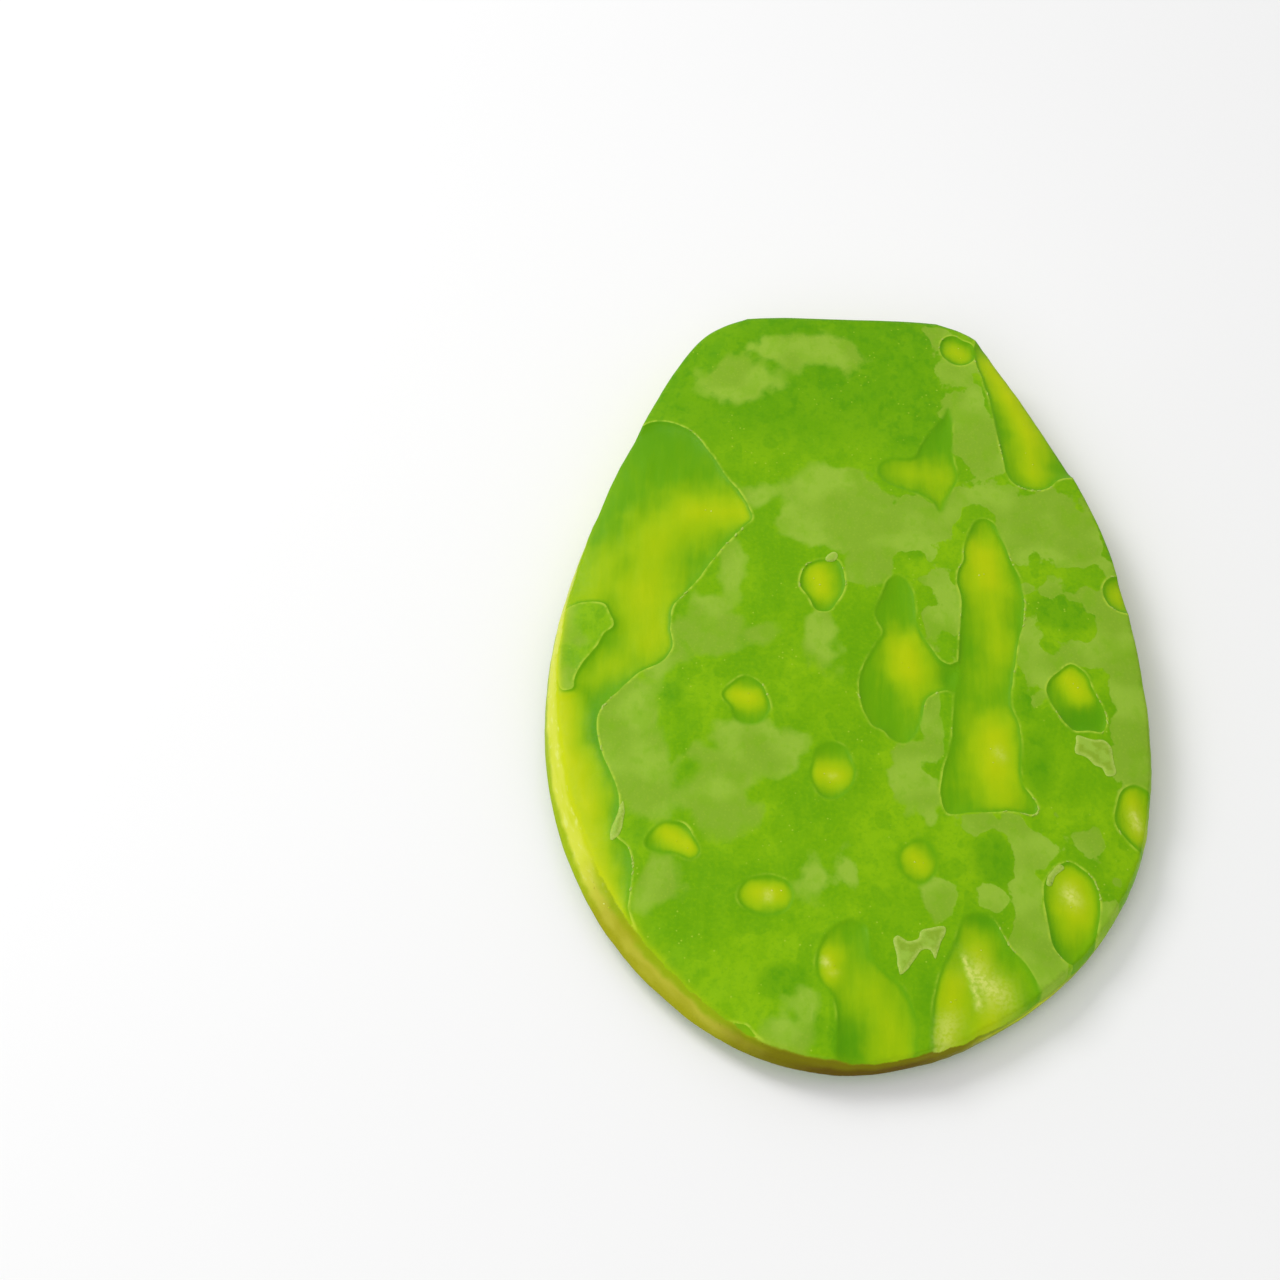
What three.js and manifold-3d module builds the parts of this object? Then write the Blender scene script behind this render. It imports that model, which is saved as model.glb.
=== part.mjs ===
// A prickly pear cactus pad, cleaned of its spines with a knife and laid flat with its upper face up.
// Millimetres, +Z up. The long axis runs along Y, with the cut stem end at +Y and the round tip at -Y.
// The origin is under the middle of the pad, on the surface that it rests on.
import * as THREE from "three";
import { mergeVertices } from "three/addons/utils/BufferGeometryUtils.js";
import Module from "manifold-3d";

const wasm = await Module();
wasm.setup();

// ---- Driving dimensions ----

const HALF_WIDTH = 60.5; // widest, a little below the middle
const STEM_CUT_Y = 92.4; // where the knife took the pad off its stem
const STEM_CUT_LEAN = 4; // degrees that this cut leans back from upright

// The rim's outline, anticlockwise from the left corner of the stem end. It runs on past the stem cut.
const OUTLINE = [
  [-15, 96], [-20.5, 92.3], [-26, 89.7], [-30.6, 86.2], [-34.6, 80.6], [-38.6, 72.6], [-43.2, 61.5],
  [-48.6, 47.5], [-54.6, 29], [-58.6, 12], [-60.5, -8], [-59.4, -27], [-54, -48], [-44.6, -66.5],
  [-31, -81.6], [-15, -91.4], [2, -93.5], [21, -88], [38.9, -75.3], [50.6, -60.6], [58.5, -42.5],
  [61.3, -22], [60.8, -2], [58.5, 18], [54.4, 36], [49.1, 50], [43.3, 62.3], [38.5, 72.3], [34.9, 79.5],
  [32.7, 84.2], [30.2, 87.6], [26.6, 90], [21.6, 92.1], [16, 96],
];

const TIP_HEIGHT = 8.6; // height of the upper face at the tip
const STEM_RISE = 6; // how much higher it is at the stem end
const RISE_LENGTH = 150; // length over which it rises, from the tip up
const CROWN = 1.8; // fall of the upper face from the middle to either side
const SHOULDER = 0.9; // extra fall just inside the rim
const SHOULDER_WIDTH = 5;
const SWELL = 0.3; // height of the skin's gentle waves

const FLAT_HALF_WIDTH = 26; // the flat spot on the underside that the pad rests on
const FLAT_HALF_LENGTH = 40;
const FLAT_Y = 5;
const UNDER_LIFT = 1.7; // how fast the underside rises outside the flat spot

const RIM_CUT = 0.5; // width, seen from above, of the sloping knife cut round the rim
// That cut is wider near some directions from the middle: [degrees, spread, extra width].
const WIDER_RIM_CUT = [[188, 38, 1.5], [208, 12, 1.4], [238, 17, 3.1]];
const UNDER_CUT = 1.4; // the same cut's lower half, sloping back under
const RIM_LINE = 0.32; // height of the outermost line, as a share of the rim's thickness

const STEPS_AROUND = 96;
const TOP_RINGS = [0.18, 0.36, 0.54, 0.7, 0.84, 0.94, 1];
const UNDER_RINGS = [1, 0.92, 0.78, 0.6, 0.4, 0.2];

// The cuts that took off the areoles: [x, y, half length, half width, turn in degrees, depth].
// The half length runs along Y before the turn, which is anticlockwise.
const SCOOPS = [
  [-4.3, 15, 6.8, 4.7, 4, 1.2],
  [-19.8, -13.4, 6, 4.8, 8, 1.1],
  [-2.4, -30, 6.6, 4.6, 2, 1.2],
  [-33, -46, 5.4, 3.9, 60, 1.1],
  [-15.4, -58.5, 4.5, 5.2, 0, 1],
  [13.8, -50, 5.6, 4, -8, 0.9],
  [46.5, -10.5, 8.4, 4.8, 24, 1.3],
  [57.2, -37, 7, 4.2, -8, 1.3],
  [43.6, -57.5, 10.2, 5.6, -6, 1.3],
  [11.2, 12, 8.2, 4.4, -6, 0.8],
  [11.4, -8, 13.8, 7.6, -4, 1.4],
  [26.2, 82.9, 4.8, 4, 0, 1.3],
];

// The longer shaves, made with one or more overlapping strokes of the knife, in the same form.
const SHAVES = [
  [30.6, 14, 21.5, 6.6, -2, 1.3],
  [27.2, -22, 17.5, 7.6, -6, 1.3],
  [17, 47, 12, 7.6, -30, 1],
  [38, 63.4, 21.5, 5, 20, 1.4],
  [3, -80, 15, 7.6, 14, 1.1],
  [25, -78, 16.5, 8.6, -2, 1.4],
  [-32, 29, 19, 9.5, -52, 1.2],
  [-43.5, 8, 19, 8.5, -14, 1.3],
  [-49.5, -14, 15, 8.5, 26, 1.2],
  [-52.2, -36, 20, 6, 10, 1.3],
  [-44.2, -60, 17, 5, 32, 1.1],
];

// The areoles on the underside stand in slanting rows, like those above.
const UNDER_ROW_STEP = [26, 15];
const UNDER_COLUMN_STEP = [-14, 31];
const UNDER_START = [7, 4];
const UNDER_SCOOP = [6, 4.6, 1]; // half length, half width, depth
const UNDER_EDGE_GAP = 9; // least distance from the rim to the middle of such a cut

// ---- Surfaces ----

const smooth = (t) => {
  const s = Math.min(Math.max(t, 0), 1);
  return s * s * (3 - 2 * s);
};

// Height of the upper face, before any cut and before it falls away at the rim.
function upperHeight(x, y) {
  const rise = STEM_RISE * smooth((y + STEM_CUT_Y) / RISE_LENGTH);
  const waves = Math.sin(x / 11 + 0.6) * Math.sin(y / 15 - 0.4) + 0.7 * Math.sin((x + 2 * y) / 25);
  return TIP_HEIGHT + rise - CROWN * (x / HALF_WIDTH) ** 2 + SWELL * waves;
}

// Height of the underside: nothing over the flat spot, then an easy rise to the rim.
function underHeight(x, y) {
  const out = Math.hypot(x / FLAT_HALF_WIDTH, (y - FLAT_Y) / FLAT_HALF_LENGTH) - 1;
  return out > 0 ? (UNDER_LIFT * out ** 1.5) / (1 + 0.35 * out) : 0;
}

// Width of the sloping cut round the rim at a direction from the middle, in radians.
function rimCut(angle) {
  return WIDER_RIM_CUT.reduce((width, [degrees, spread, extra]) => {
    const off = Math.cos(angle - THREE.MathUtils.degToRad(degrees)) - 1;
    return width + extra * Math.exp(off * (57.3 / spread) ** 2);
  }, RIM_CUT);
}

const rimCurve = new THREE.CatmullRomCurve3(
  OUTLINE.map(([x, y]) => new THREE.Vector3(x, y, 0)),
  true,
  "centripetal",
);

// ---- The uncut body ----

// Rings of points run from the middle of the upper face out over the rim and back under to the middle.
function padBody() {
  const rim = rimCurve.getSpacedPoints(STEPS_AROUND).slice(0, STEPS_AROUND);
  const inward = (i, distance) => {
    const before = rim[(i + STEPS_AROUND - 1) % STEPS_AROUND];
    const along = rim[(i + 1) % STEPS_AROUND].clone().sub(before).normalize();
    return rim[i].clone().add(new THREE.Vector3(-along.y, along.x, 0).multiplyScalar(distance));
  };
  const upperEdge = rim.map((p, i) => inward(i, rimCut(Math.atan2(p.y, p.x))));
  const underEdge = rim.map((p, i) => inward(i, UNDER_CUT));
  const upperPoint = (edge, share) => {
    const p = edge.clone().multiplyScalar(share);
    const fall = SHOULDER * Math.exp((-(1 - share) * edge.length()) / SHOULDER_WIDTH);
    return p.setZ(upperHeight(p.x, p.y) - fall);
  };
  const underPoint = (edge, share) => {
    const p = edge.clone().multiplyScalar(share);
    return p.setZ(underHeight(p.x, p.y));
  };
  const rings = TOP_RINGS.map((share) => upperEdge.map((edge) => upperPoint(edge, share)));
  rings.push(
    rim.map((p, i) => {
      const high = upperPoint(upperEdge[i], 1).z;
      const low = underPoint(underEdge[i], 1).z;
      return p.clone().setZ(low + (high - low) * RIM_LINE);
    }),
  );
  UNDER_RINGS.forEach((share) => rings.push(underEdge.map((edge) => underPoint(edge, share))));

  const points = [new THREE.Vector3(0, 0, upperHeight(0, 0)), ...rings.flat(), new THREE.Vector3()];
  const last = points.length - 1;
  const faces = [];
  for (let i = 0; i < STEPS_AROUND; i++) {
    const j = (i + 1) % STEPS_AROUND;
    faces.push(0, 1 + i, 1 + j);
    for (let r = 0; r < rings.length - 1; r++) {
      const inner = 1 + r * STEPS_AROUND;
      const outer = inner + STEPS_AROUND;
      faces.push(inner + i, outer + i, outer + j, inner + i, outer + j, inner + j);
    }
    faces.push(last, last - STEPS_AROUND + j, last - STEPS_AROUND + i);
  }
  const geometry = new THREE.BufferGeometry().setFromPoints(points);
  geometry.setIndex(faces);
  return geometry;
}

// ---- Knife cuts ----

function solidOf(geometry) {
  const shape = geometry.clone();
  shape.deleteAttribute("normal");
  shape.deleteAttribute("uv");
  const merged = mergeVertices(shape, 1e-4);
  return new wasm.Manifold(
    new wasm.Mesh({
      numProp: 3,
      vertProperties: merged.attributes.position.array,
      triVerts: new Uint32Array(merged.index.array),
    }),
  );
}

const CUTTER_STEPS = 20;
const BLADE_SWEEP = 3.2; // how far the rounded cutter's centre stands above a cut, in depths

// A rounded cutter that sinks a given depth into a face and leaves an oval of the given size there.
function scoopCutter([x, y, halfLength, halfWidth, turn, depth], height, side) {
  const reach = BLADE_SWEEP * depth;
  const spread = Math.sqrt(1 - ((reach - depth) / reach) ** 2);
  const slopeX = (height(x + 1, y) - height(x - 1, y)) / 2;
  const slopeY = (height(x, y + 1) - height(x, y - 1)) / 2;
  const cutter = new THREE.SphereGeometry(1, CUTTER_STEPS, CUTTER_STEPS / 2);
  cutter.scale(halfWidth / spread, halfLength / spread, reach);
  cutter.rotateZ(THREE.MathUtils.degToRad(turn));
  cutter.rotateX(Math.atan(slopeY));
  cutter.rotateY(-Math.atan(slopeX));
  cutter.translate(x, y, height(x, y) + side * (reach - depth));
  return solidOf(cutter);
}

// The straight cut across the stem end: a block whose near face is the blade's plane.
function stemCutter() {
  const block = new THREE.BoxGeometry(120, 40, 60);
  block.translate(0, 20, 0);
  block.rotateX(THREE.MathUtils.degToRad(STEM_CUT_LEAN));
  block.translate(0, STEM_CUT_Y, 0);
  return solidOf(block);
}

const rimOutline = rimCurve.getSpacedPoints(STEPS_AROUND);

function distanceToRim(x, y) {
  return Math.min(...rimOutline.map((p) => Math.hypot(p.x - x, p.y - y)));
}

function insideRim(x, y) {
  return rimOutline.slice(1).reduce((inside, p, i) => {
    const q = rimOutline[i];
    const crosses = p.y > y !== q.y > y && x < ((q.x - p.x) * (y - p.y)) / (q.y - p.y) + p.x;
    return crosses ? !inside : inside;
  }, false);
}

function underScoops() {
  const scoops = [];
  for (let row = -4; row <= 4; row++) {
    for (let column = -4; column <= 4; column++) {
      const x = UNDER_START[0] + row * UNDER_ROW_STEP[0] + column * UNDER_COLUMN_STEP[0];
      const y = UNDER_START[1] + row * UNDER_ROW_STEP[1] + column * UNDER_COLUMN_STEP[1];
      if (!insideRim(x, y) || distanceToRim(x, y) < UNDER_EDGE_GAP) continue;
      const vary = 1 + 0.15 * Math.sin(5 * row + 3 * column);
      const [halfLength, halfWidth, depth] = UNDER_SCOOP;
      scoops.push([x, y, halfLength * vary, halfWidth / vary, 12 * Math.sin(row - 2 * column), depth]);
    }
  }
  return scoops;
}

function cutPad() {
  const cutters = [
    stemCutter(),
    ...SCOOPS.map((scoop) => scoopCutter(scoop, upperHeight, 1)),
    ...SHAVES.map((shave) => scoopCutter(shave, upperHeight, 1)),
    ...underScoops().map((scoop) => scoopCutter(scoop, underHeight, -1)),
  ];
  const cut = cutters.reduce((body, cutter) => body.subtract(cutter), solidOf(padBody()));
  const mesh = cut.getMesh();
  const geometry = new THREE.BufferGeometry();
  geometry.setAttribute("position", new THREE.BufferAttribute(mesh.vertProperties, 3));
  geometry.setIndex(new THREE.BufferAttribute(mesh.triVerts, 1));
  geometry.computeVertexNormals();
  return geometry;
}

// ---- The part ----

const skin = new THREE.MeshStandardMaterial({ color: 0x7db022, roughness: 0.35, metalness: 0 });
const pad = new THREE.Mesh(cutPad(), skin);
pad.name = "pad";

const group = new THREE.Group();
group.add(pad);

export default group;
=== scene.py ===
"""A prickly pear cactus pad for the kitchen, cleaned of its spines with a knife and laid flat.

The pad is one closed mesh. Its outline, crown and trimmed rim repeat those of the solid part. On its upper
face each knife cut is an outline with a step down through the skin, a shallow floor and a mound of firm flesh
where the spines grew. Lengths are in millimetres until a mesh is made. The long axis runs along Y, with the
cut stem end at +Y, and Z is up from the surface that the pad rests on.
"""

import functools
import itertools
import math
from collections import namedtuple

import bpy
import numpy as np
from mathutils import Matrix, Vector, kdtree
from mathutils.geometry import delaunay_2d_cdt


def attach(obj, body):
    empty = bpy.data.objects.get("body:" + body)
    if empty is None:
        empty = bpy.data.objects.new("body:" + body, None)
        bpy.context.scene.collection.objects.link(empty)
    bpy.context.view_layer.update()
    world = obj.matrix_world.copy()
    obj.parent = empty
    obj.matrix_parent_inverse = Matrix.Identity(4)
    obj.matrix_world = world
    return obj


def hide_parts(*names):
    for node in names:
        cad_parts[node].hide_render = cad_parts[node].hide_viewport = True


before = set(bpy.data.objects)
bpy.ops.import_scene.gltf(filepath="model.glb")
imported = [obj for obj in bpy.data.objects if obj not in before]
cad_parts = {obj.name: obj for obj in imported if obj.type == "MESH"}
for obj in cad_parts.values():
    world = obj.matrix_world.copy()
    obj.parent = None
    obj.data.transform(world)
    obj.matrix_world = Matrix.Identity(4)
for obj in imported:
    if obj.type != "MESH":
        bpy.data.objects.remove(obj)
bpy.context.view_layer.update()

bl_info = {
    "name": "Prickly Pear Cactus Pad",
    "version": (1, 0, 0),
    "blender": (4, 5, 0),
    "location": "3D View > Sidebar > Cactus Pad",
    "description": "Builds a cleaned prickly pear cactus pad with its knife cuts, trimmed rim and studio",
    "category": "Add Mesh",
}

MM = 0.001
NODE = "pad"
BODY = "root"

# ---- Driving sizes of the pad, as in the solid part ----

HALF_WIDTH = 60.5
STEM_CUT_Y = 92.4
STEM_CUT_SLOPE = math.tan(math.radians(4))
STEM_WIDTH = 43
TIP_HEIGHT = 8.6
STEM_RISE = 6
RISE_LENGTH = 150
CROWN = 1.8
SHOULDER = 0.9
SHOULDER_WIDTH = 5
SWELL = 0.3
FLAT_HALF_WIDTH = 26
FLAT_HALF_LENGTH = 40
FLAT_Y = 5
UNDER_LIFT = 1.7
UNDER_POWER = 1.5  # how slowly the underside begins to rise
UNDER_EASE = 0.35  # how much its rise eases off towards the rim
UNDER_CUT = 1.4
RIM_LINE = 0.32

# Heights at which the edge of the upper face, the rim's outermost line and the edge of the underside meet the
# leaning stem cut.
TOP_HEIGHT = 13.4
MIDDLE_HEIGHT = 5.6
UNDER_HEIGHT = 1.9

DEGREES_IN_RADIAN = 57.3

# The sloping cut round the rim is wider near some directions: (degrees, spread, extra width).
RIM_CUT = 0.5
WIDER_RIM_CUT = ((188, 38, 1.5), (208, 12, 1.4), (238, 17, 3.1))

# How the cut rim looks in some directions: cream is pale fresh flesh with a painted highlight on
# its bevel, tan is browned by the air, and olive is browned and darkened with painted shade on the
# rim's front. Then where a painted highlight lies along its upper edge: (degrees, spread).
RIM_ZONES = {"cream": (206, 30), "tan": (246, 15), "olive": (273, 12)}
RIDGE_HIGHLIGHT = (206, 26)

# How far the skin reaches down the rim, and where it reaches further: (degrees, spread, extra width).
SKIN_EDGE = 0.25
SKIN_WRAP = (322, 24, 3)

# The rim's outline, anticlockwise from the left corner of the stem end. It runs on past the stem cut.
OUTLINE = [
    (-15, 96), (-20.5, 92.3), (-26, 89.7), (-30.6, 86.2), (-34.6, 80.6), (-38.6, 72.6), (-43.2, 61.5),
    (-48.6, 47.5), (-54.6, 29), (-58.6, 12), (-60.5, -8), (-59.4, -27), (-54, -48), (-44.6, -66.5),
    (-31, -81.6), (-15, -91.4), (2, -93.5), (21, -88), (38.9, -75.3), (50.6, -60.6), (58.5, -42.5),
    (61.3, -22), (60.8, -2), (58.5, 18), (54.4, 36), (49.1, 50), (43.3, 62.3), (38.5, 72.3), (34.9, 79.5),
    (32.7, 84.2), (30.2, 87.6), (26.6, 90), (21.6, 92.1), (16, 96),
]

# ---- Knife cuts on the upper face ----

# outline: corners of the cut. hearts: (x, y, x, y, radius, strength) of each mound of yellow flesh in it.
# crisp: how sharp its edge is, from 0 where the knife slid in flat to 1 where it dug in.
# island: corners of the skin that the knife left standing in it.
Cut = namedtuple("Cut", "outline hearts depth crisp island", defaults=(None,))

UPPER_CUTS = {
    "left shave": Cut(
        [(-46, 58), (-40, 60), (-33, 57), (-28, 50), (-25, 44.5), (-21, 38), (-19, 32.5),
         (-20.5, 30.5), (-23, 27.5), (-27, 21.5), (-30.5, 15.5), (-33, 12.3), (-35.2, 9),
         (-35.5, 4), (-35, -1), (-37, -4.3), (-42, -7.5), (-45.5, -11.5), (-49.3, -16.5),
         (-49.5, -21), (-48, -27), (-46, -31.5), (-44.8, -35), (-44.2, -40), (-45, -45),
         (-42.3, -48), (-41.3, -52), (-41.5, -58), (-41.8, -61), (-40.5, -65), (-38.5, -69.5),
         (-35, -73.5), (-31.5, -78), (-28, -82), (-24, -84.6), (-20.5, -85.4), (-18.8, -85.8),
         (-17, -88), (-14, -90.3), (-11, -91.6), (-12, -97), (-30, -92), (-50, -72), (-64, -40),
         (-67, 0), (-60, 40), (-52, 60)],
        [(-22, 34.5, -31, 34.5, 5, 0.8), (-31, 34, -39, 27, 7, 0.6), (-39, 27, -41, 14, 8, 0.6),
         (-41, 14, -39, 3, 7, 0.72), (-50, 20, -52, 12, 6, 0.55), (-40, 1, -46, -4, 5.5, 0.45),
         (-46, -4, -51, -8, 4, 0.4), (-57, -12, -55.4, -28, 3.6, 1.15), (-54, -28, -51, -38, 4, 1.1),
         (-51, -38, -47.5, -52, 3.6, 0.95), (-46.5, -56, -44, -62, 2.8, 0.8)],
        1.2, 0.9,
        [(-57.6, 9), (-55.5, 10.3), (-52, 10.8), (-49.3, 10), (-48, 7.5), (-47.2, 4.6), (-49, 2.6),
         (-50.5, -0.5), (-53, -4.2), (-54.5, -7.5), (-54.8, -10.6), (-57, -10.8), (-58.2, -6), (-58, 2)],
    ),
    "upper middle scoop": Cut(
        [(-7.5, 20.3), (-5, 21.6), (-1.2, 21.6), (0, 19), (0.2, 14.5), (-1.2, 11), (-3, 8.5),
         (-5.5, 8.6), (-7, 11.5), (-9, 14.8), (-8.6, 18)],
        [(-5.2, 17.5, -4.6, 14.5, 3, 1)],
        1, 0.7,
    ),
    "left middle scoop": Cut(
        [(-22.5, -9.2), (-20, -7.8), (-17.2, -9.2), (-15.6, -12), (-14.8, -15.5), (-16.2, -18.6),
         (-19.5, -19.6), (-22, -18.4), (-23, -15.5), (-24.6, -12.4)],
        [(-21, -12.6, -19, -13, 2.8, 1)],
        0.9, 0.55,
    ),
    "middle scoop": Cut(
        [(-5.6, -24.5), (-3, -22.8), (0, -24), (1.6, -27), (2.2, -30), (1.2, -33.5), (-1, -36),
         (-4, -36.4), (-6.3, -33.5), (-6.9, -29)],
        [(-3.6, -30.5, -2, -30.8, 3, 1)],
        1, 0.4,
    ),
    "lower left scoop": Cut(
        [(-37.6, -44), (-35.5, -42.3), (-31.5, -42.8), (-29.5, -45.8), (-28.3, -49), (-30, -50.8),
         (-33, -49.6), (-37, -49.2), (-39, -47.8), (-38.8, -45.8)],
        [(-34, -45.4, -30.8, -47.6, 2.4, 1)],
        0.9, 0.6,
    ),
    "lower middle scoop": Cut(
        [(-20.6, -57), (-18.5, -54.6), (-14.5, -54), (-11, -55.6), (-10, -58.6), (-11.6, -61.8),
         (-15, -63), (-18.6, -62), (-20.6, -59.8)],
        [(-16.4, -57.8, -14.4, -57.9, 2.9, 1)],
        0.8, 0.35,
    ),
    "lower right scoop": Cut(
        [(12.4, -45.5), (15, -44.6), (17.3, -47), (17.8, -50.5), (16.4, -54), (13.8, -55.4),
         (11, -53.6), (9.9, -50.2), (10.6, -47.3)],
        [(13.2, -49.4, 14, -50.6, 2.8, 0.85)],
        0.7, 0.25,
    ),
    "right middle scoop": Cut(
        [(46, -2.4), (47.8, -3.4), (49.3, -5.4), (50, -8), (51, -10.6), (52.2, -13.4),
         (52.4, -16.4), (51.4, -18.4), (49, -18.2), (46.2, -18.6), (44.3, -17), (42.8, -14.8),
         (41.4, -12), (40.7, -9.2), (41.6, -6.4), (43.6, -4.4)],
        [(46, -6.6, 47, -8.4, 2.8, 1)],
        1.1, 0.85,
    ),
    "right rim scoop": Cut(
        [(54.6, -31.4), (57, -29.9), (60, -31), (63, -37), (60, -45), (57.2, -44.6),
         (54.2, -41.6), (52.7, -38.3), (53.2, -34.8)],
        [(56.5, -34, 57, -39.5, 3, 0.9)],
        1.1, 0.7,
    ),
    "lower right shave": Cut(
        [(39.6, -50.6), (43, -48.4), (46.4, -50.4), (48.4, -54), (48.6, -59), (47.3, -64.5),
         (46, -68.5), (42.5, -70.6), (39.6, -68), (38.4, -62.5), (37.8, -57), (38.1, -53.5)],
        [(43.6, -54, 44, -58, 4, 1), (43, -60, 43, -64, 3.4, 0.4)],
        1.1, 0.9,
    ),
    "double scoop": Cut(
        [(11, 18.2), (13, 17), (14.3, 14), (14.7, 10.5), (15, 6.5), (16.2, 3), (17.8, 0),
         (19.6, -2.8), (21.5, -3.8), (23.4, -3), (22.4, -10.4), (20.5, -10), (18.4, -10.6),
         (16.6, -12.2), (15.8, -15), (15, -18.5), (13.8, -21.3), (12, -22.8), (9.6, -21.8),
         (7.6, -19.8), (5.6, -18.8), (4, -15.6), (3, -12), (2.9, -8.5), (3.8, -5), (5.2, -1.6),
         (6.6, 1.2), (8, 3.6), (7, 6), (6.3, 8.6), (7.2, 11.5), (8.4, 14.5), (9.4, 17)],
        [(12.6, -1.8, 13.2, -4.4, 4.2, 1), (13.4, -7, 14, -11, 3.8, 0.5)],
        1.1, 0.6,
    ),
    "long shave": Cut(
        [(30, 34.2), (31.8, 33.2), (33, 30), (34.2, 26.5), (35.4, 22.5), (36.8, 18), (37.3, 13),
         (36.8, 8), (35.8, 3), (34.7, -3), (34, -8), (33.4, -13), (34.6, -17), (35.1, -22),
         (34.8, -27), (34.9, -31), (36.4, -34), (37.6, -36.4), (37, -38), (33, -37.6),
         (29, -37.9), (24, -38.4), (19.8, -38.6), (18.8, -35), (19.1, -30.5), (20.2, -25.5),
         (21.4, -20.5), (21.9, -14), (22.4, -8), (23.2, -2), (23.7, 4), (24.1, 9), (24.4, 13),
         (23.6, 16.5), (24, 20), (25.1, 23), (25.5, 27), (26.6, 30.8), (28, 33.4)],
        [(29.4, 24, 30, 18.6, 4.6, 1), (30.6, 16, 31.6, 1, 4.6, 0.56), (30, 0, 29, -8, 4.2, 0.3),
         (29.6, -21.4, 29.8, -27.6, 5.2, 1), (30.4, -30, 31.6, -33.6, 3.8, 0.6)],
        1.1, 0.7,
    ),
    "upper shave": Cut(
        [(23.4, 65.4), (24.2, 61), (24, 56), (24, 50.5), (24.8, 45.5), (23.6, 42), (22, 38.5),
         (20.6, 35.4), (19.2, 38), (16.4, 40), (12.8, 41.2), (9.6, 42.8), (7.6, 45.4),
         (8, 48.2), (10.6, 50.2), (15.2, 50.6), (17, 54), (19.6, 59), (22, 62.8)],
        [(14.6, 46, 20.6, 45.4, 4.8, 0.5), (20, 44, 20.6, 41, 3.4, 0.4)],
        0.8, 0.4,
    ),
    "stem scoop": Cut(
        [(22.3, 83.4), (22.9, 86), (24.6, 87.5), (26, 87.4), (27.4, 86.3), (29.1, 85.5), (29.9, 83.6),
         (29.8, 80.6), (28.4, 78.9), (26.5, 78.2), (24.4, 78.9), (22.8, 80.8)],
        [(26.2, 82.2, 26.4, 82, 2.6, 0.8)],
        0.9, 0.8,
    ),
    "right shoulder shave": Cut(
        [(30.2, 86), (30, 80), (31, 75), (32.2, 70), (33, 64), (33.7, 58), (34.6, 52.5),
         (35, 48.5), (36.4, 45), (39, 43.2), (42, 42.9), (44.4, 44), (46, 46), (47.4, 47),
         (56, 50), (50, 66), (42, 84), (34, 96)],
        [(33.2, 79, 37, 70, 3, 0.9), (37, 70, 40.6, 60, 3.6, 1), (40.6, 58, 41, 49, 3.6, 0.8)],
        1.2, 0.8,
    ),
    "right rim notch": Cut(
        [(54.7, 19.8), (53.9, 16.8), (55, 13.6), (57.5, 12.2), (62, 13), (62, 20), (57, 21.5)],
        [(57, 16, 57, 17, 2.4, 0.7)],
        0.9, 0.9,
    ),
    "tip shave": Cut(
        [(-6, -73.5), (-5.6, -70), (-4.2, -66.8), (-2, -64.4), (1, -63.4), (3.6, -64.6), (4.2, -67.4),
         (4.4, -70.4), (6.4, -73.6), (9.4, -76.6), (11.8, -80.4), (12.9, -85), (12.9, -89.5), (13.6, -98),
         (-3, -98), (-2.2, -91), (-2, -86), (-2.2, -82.4), (-3.2, -79.4), (-5.2, -76.8)],
        [(-3.4, -72, -3, -74.4, 2.5, 0.95), (-1.6, -71, 2.4, -77, 3.6, 0.32), (5, -79, 9, -90, 6, 0.52)],
        1, 0.25,
    ),
    "right tip shave": Cut(
        [(24.2, -60.8), (27.4, -61.6), (29.4, -65), (31, -68.5), (33.4, -71), (35, -74),
         (36.5, -77), (38.8, -79.5), (40, -84), (30, -95), (16, -98), (15.4, -90), (15.6, -84),
         (16.4, -78), (17.8, -73), (19.6, -69), (20.8, -65.5), (22, -62)],
        [(24.6, -69.6, 25.4, -73, 3.5, 0.8), (19.8, -77, 19, -87, 4.2, 0.85),
         (27.6, -78, 26.4, -86, 4.6, 0.85)],
        1.2, 0.5,
    ),
}

# Where the cut flesh is palest: (x, y, x, y, radius, strength).
PALE_FLESH = [
    (24, -74.4, 27, -77, 2.4, 0.8), (21.9, -71, 24.4, -80.4, 0.6, 1), (17.4, -88.4, 18.4, -85, 2, 0.5),
    (43, -55.4, 43.2, -55.8, 1.1, 0.9), (56.8, -37, 57.2, -38.5, 0.9, 0.8), (-15, -58, -15, -58.6, 0.6, 0.5),
    (-4.2, -72.4, -4, -72.8, 0.5, 0.9), (-2.6, -75, -2.4, -75, 0.5, 0.7), (-2.6, -31, -2.4, -31, 0.5, 0.4),
    (30.5, -24, 31, -25, 0.8, 0.3),
]

# A low step where two strokes of the knife met, from end to end. The flesh beside it is higher towards +X.
CREASE = ((20.8, -67.6), (24.3, -81))
CREASE_STEP = 0.32
CREASE_WIDTH = 0.9
CREASE_RUN = 2.4  # how slowly the higher flesh falls back
CREASE_FADE = 3  # length over which the step dies out at its ends
CREASE_PAST = 0.5  # how far past its ends it still shows
CREASE_PALE = 0.85  # how much less pale the flesh is on the lower side
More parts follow.
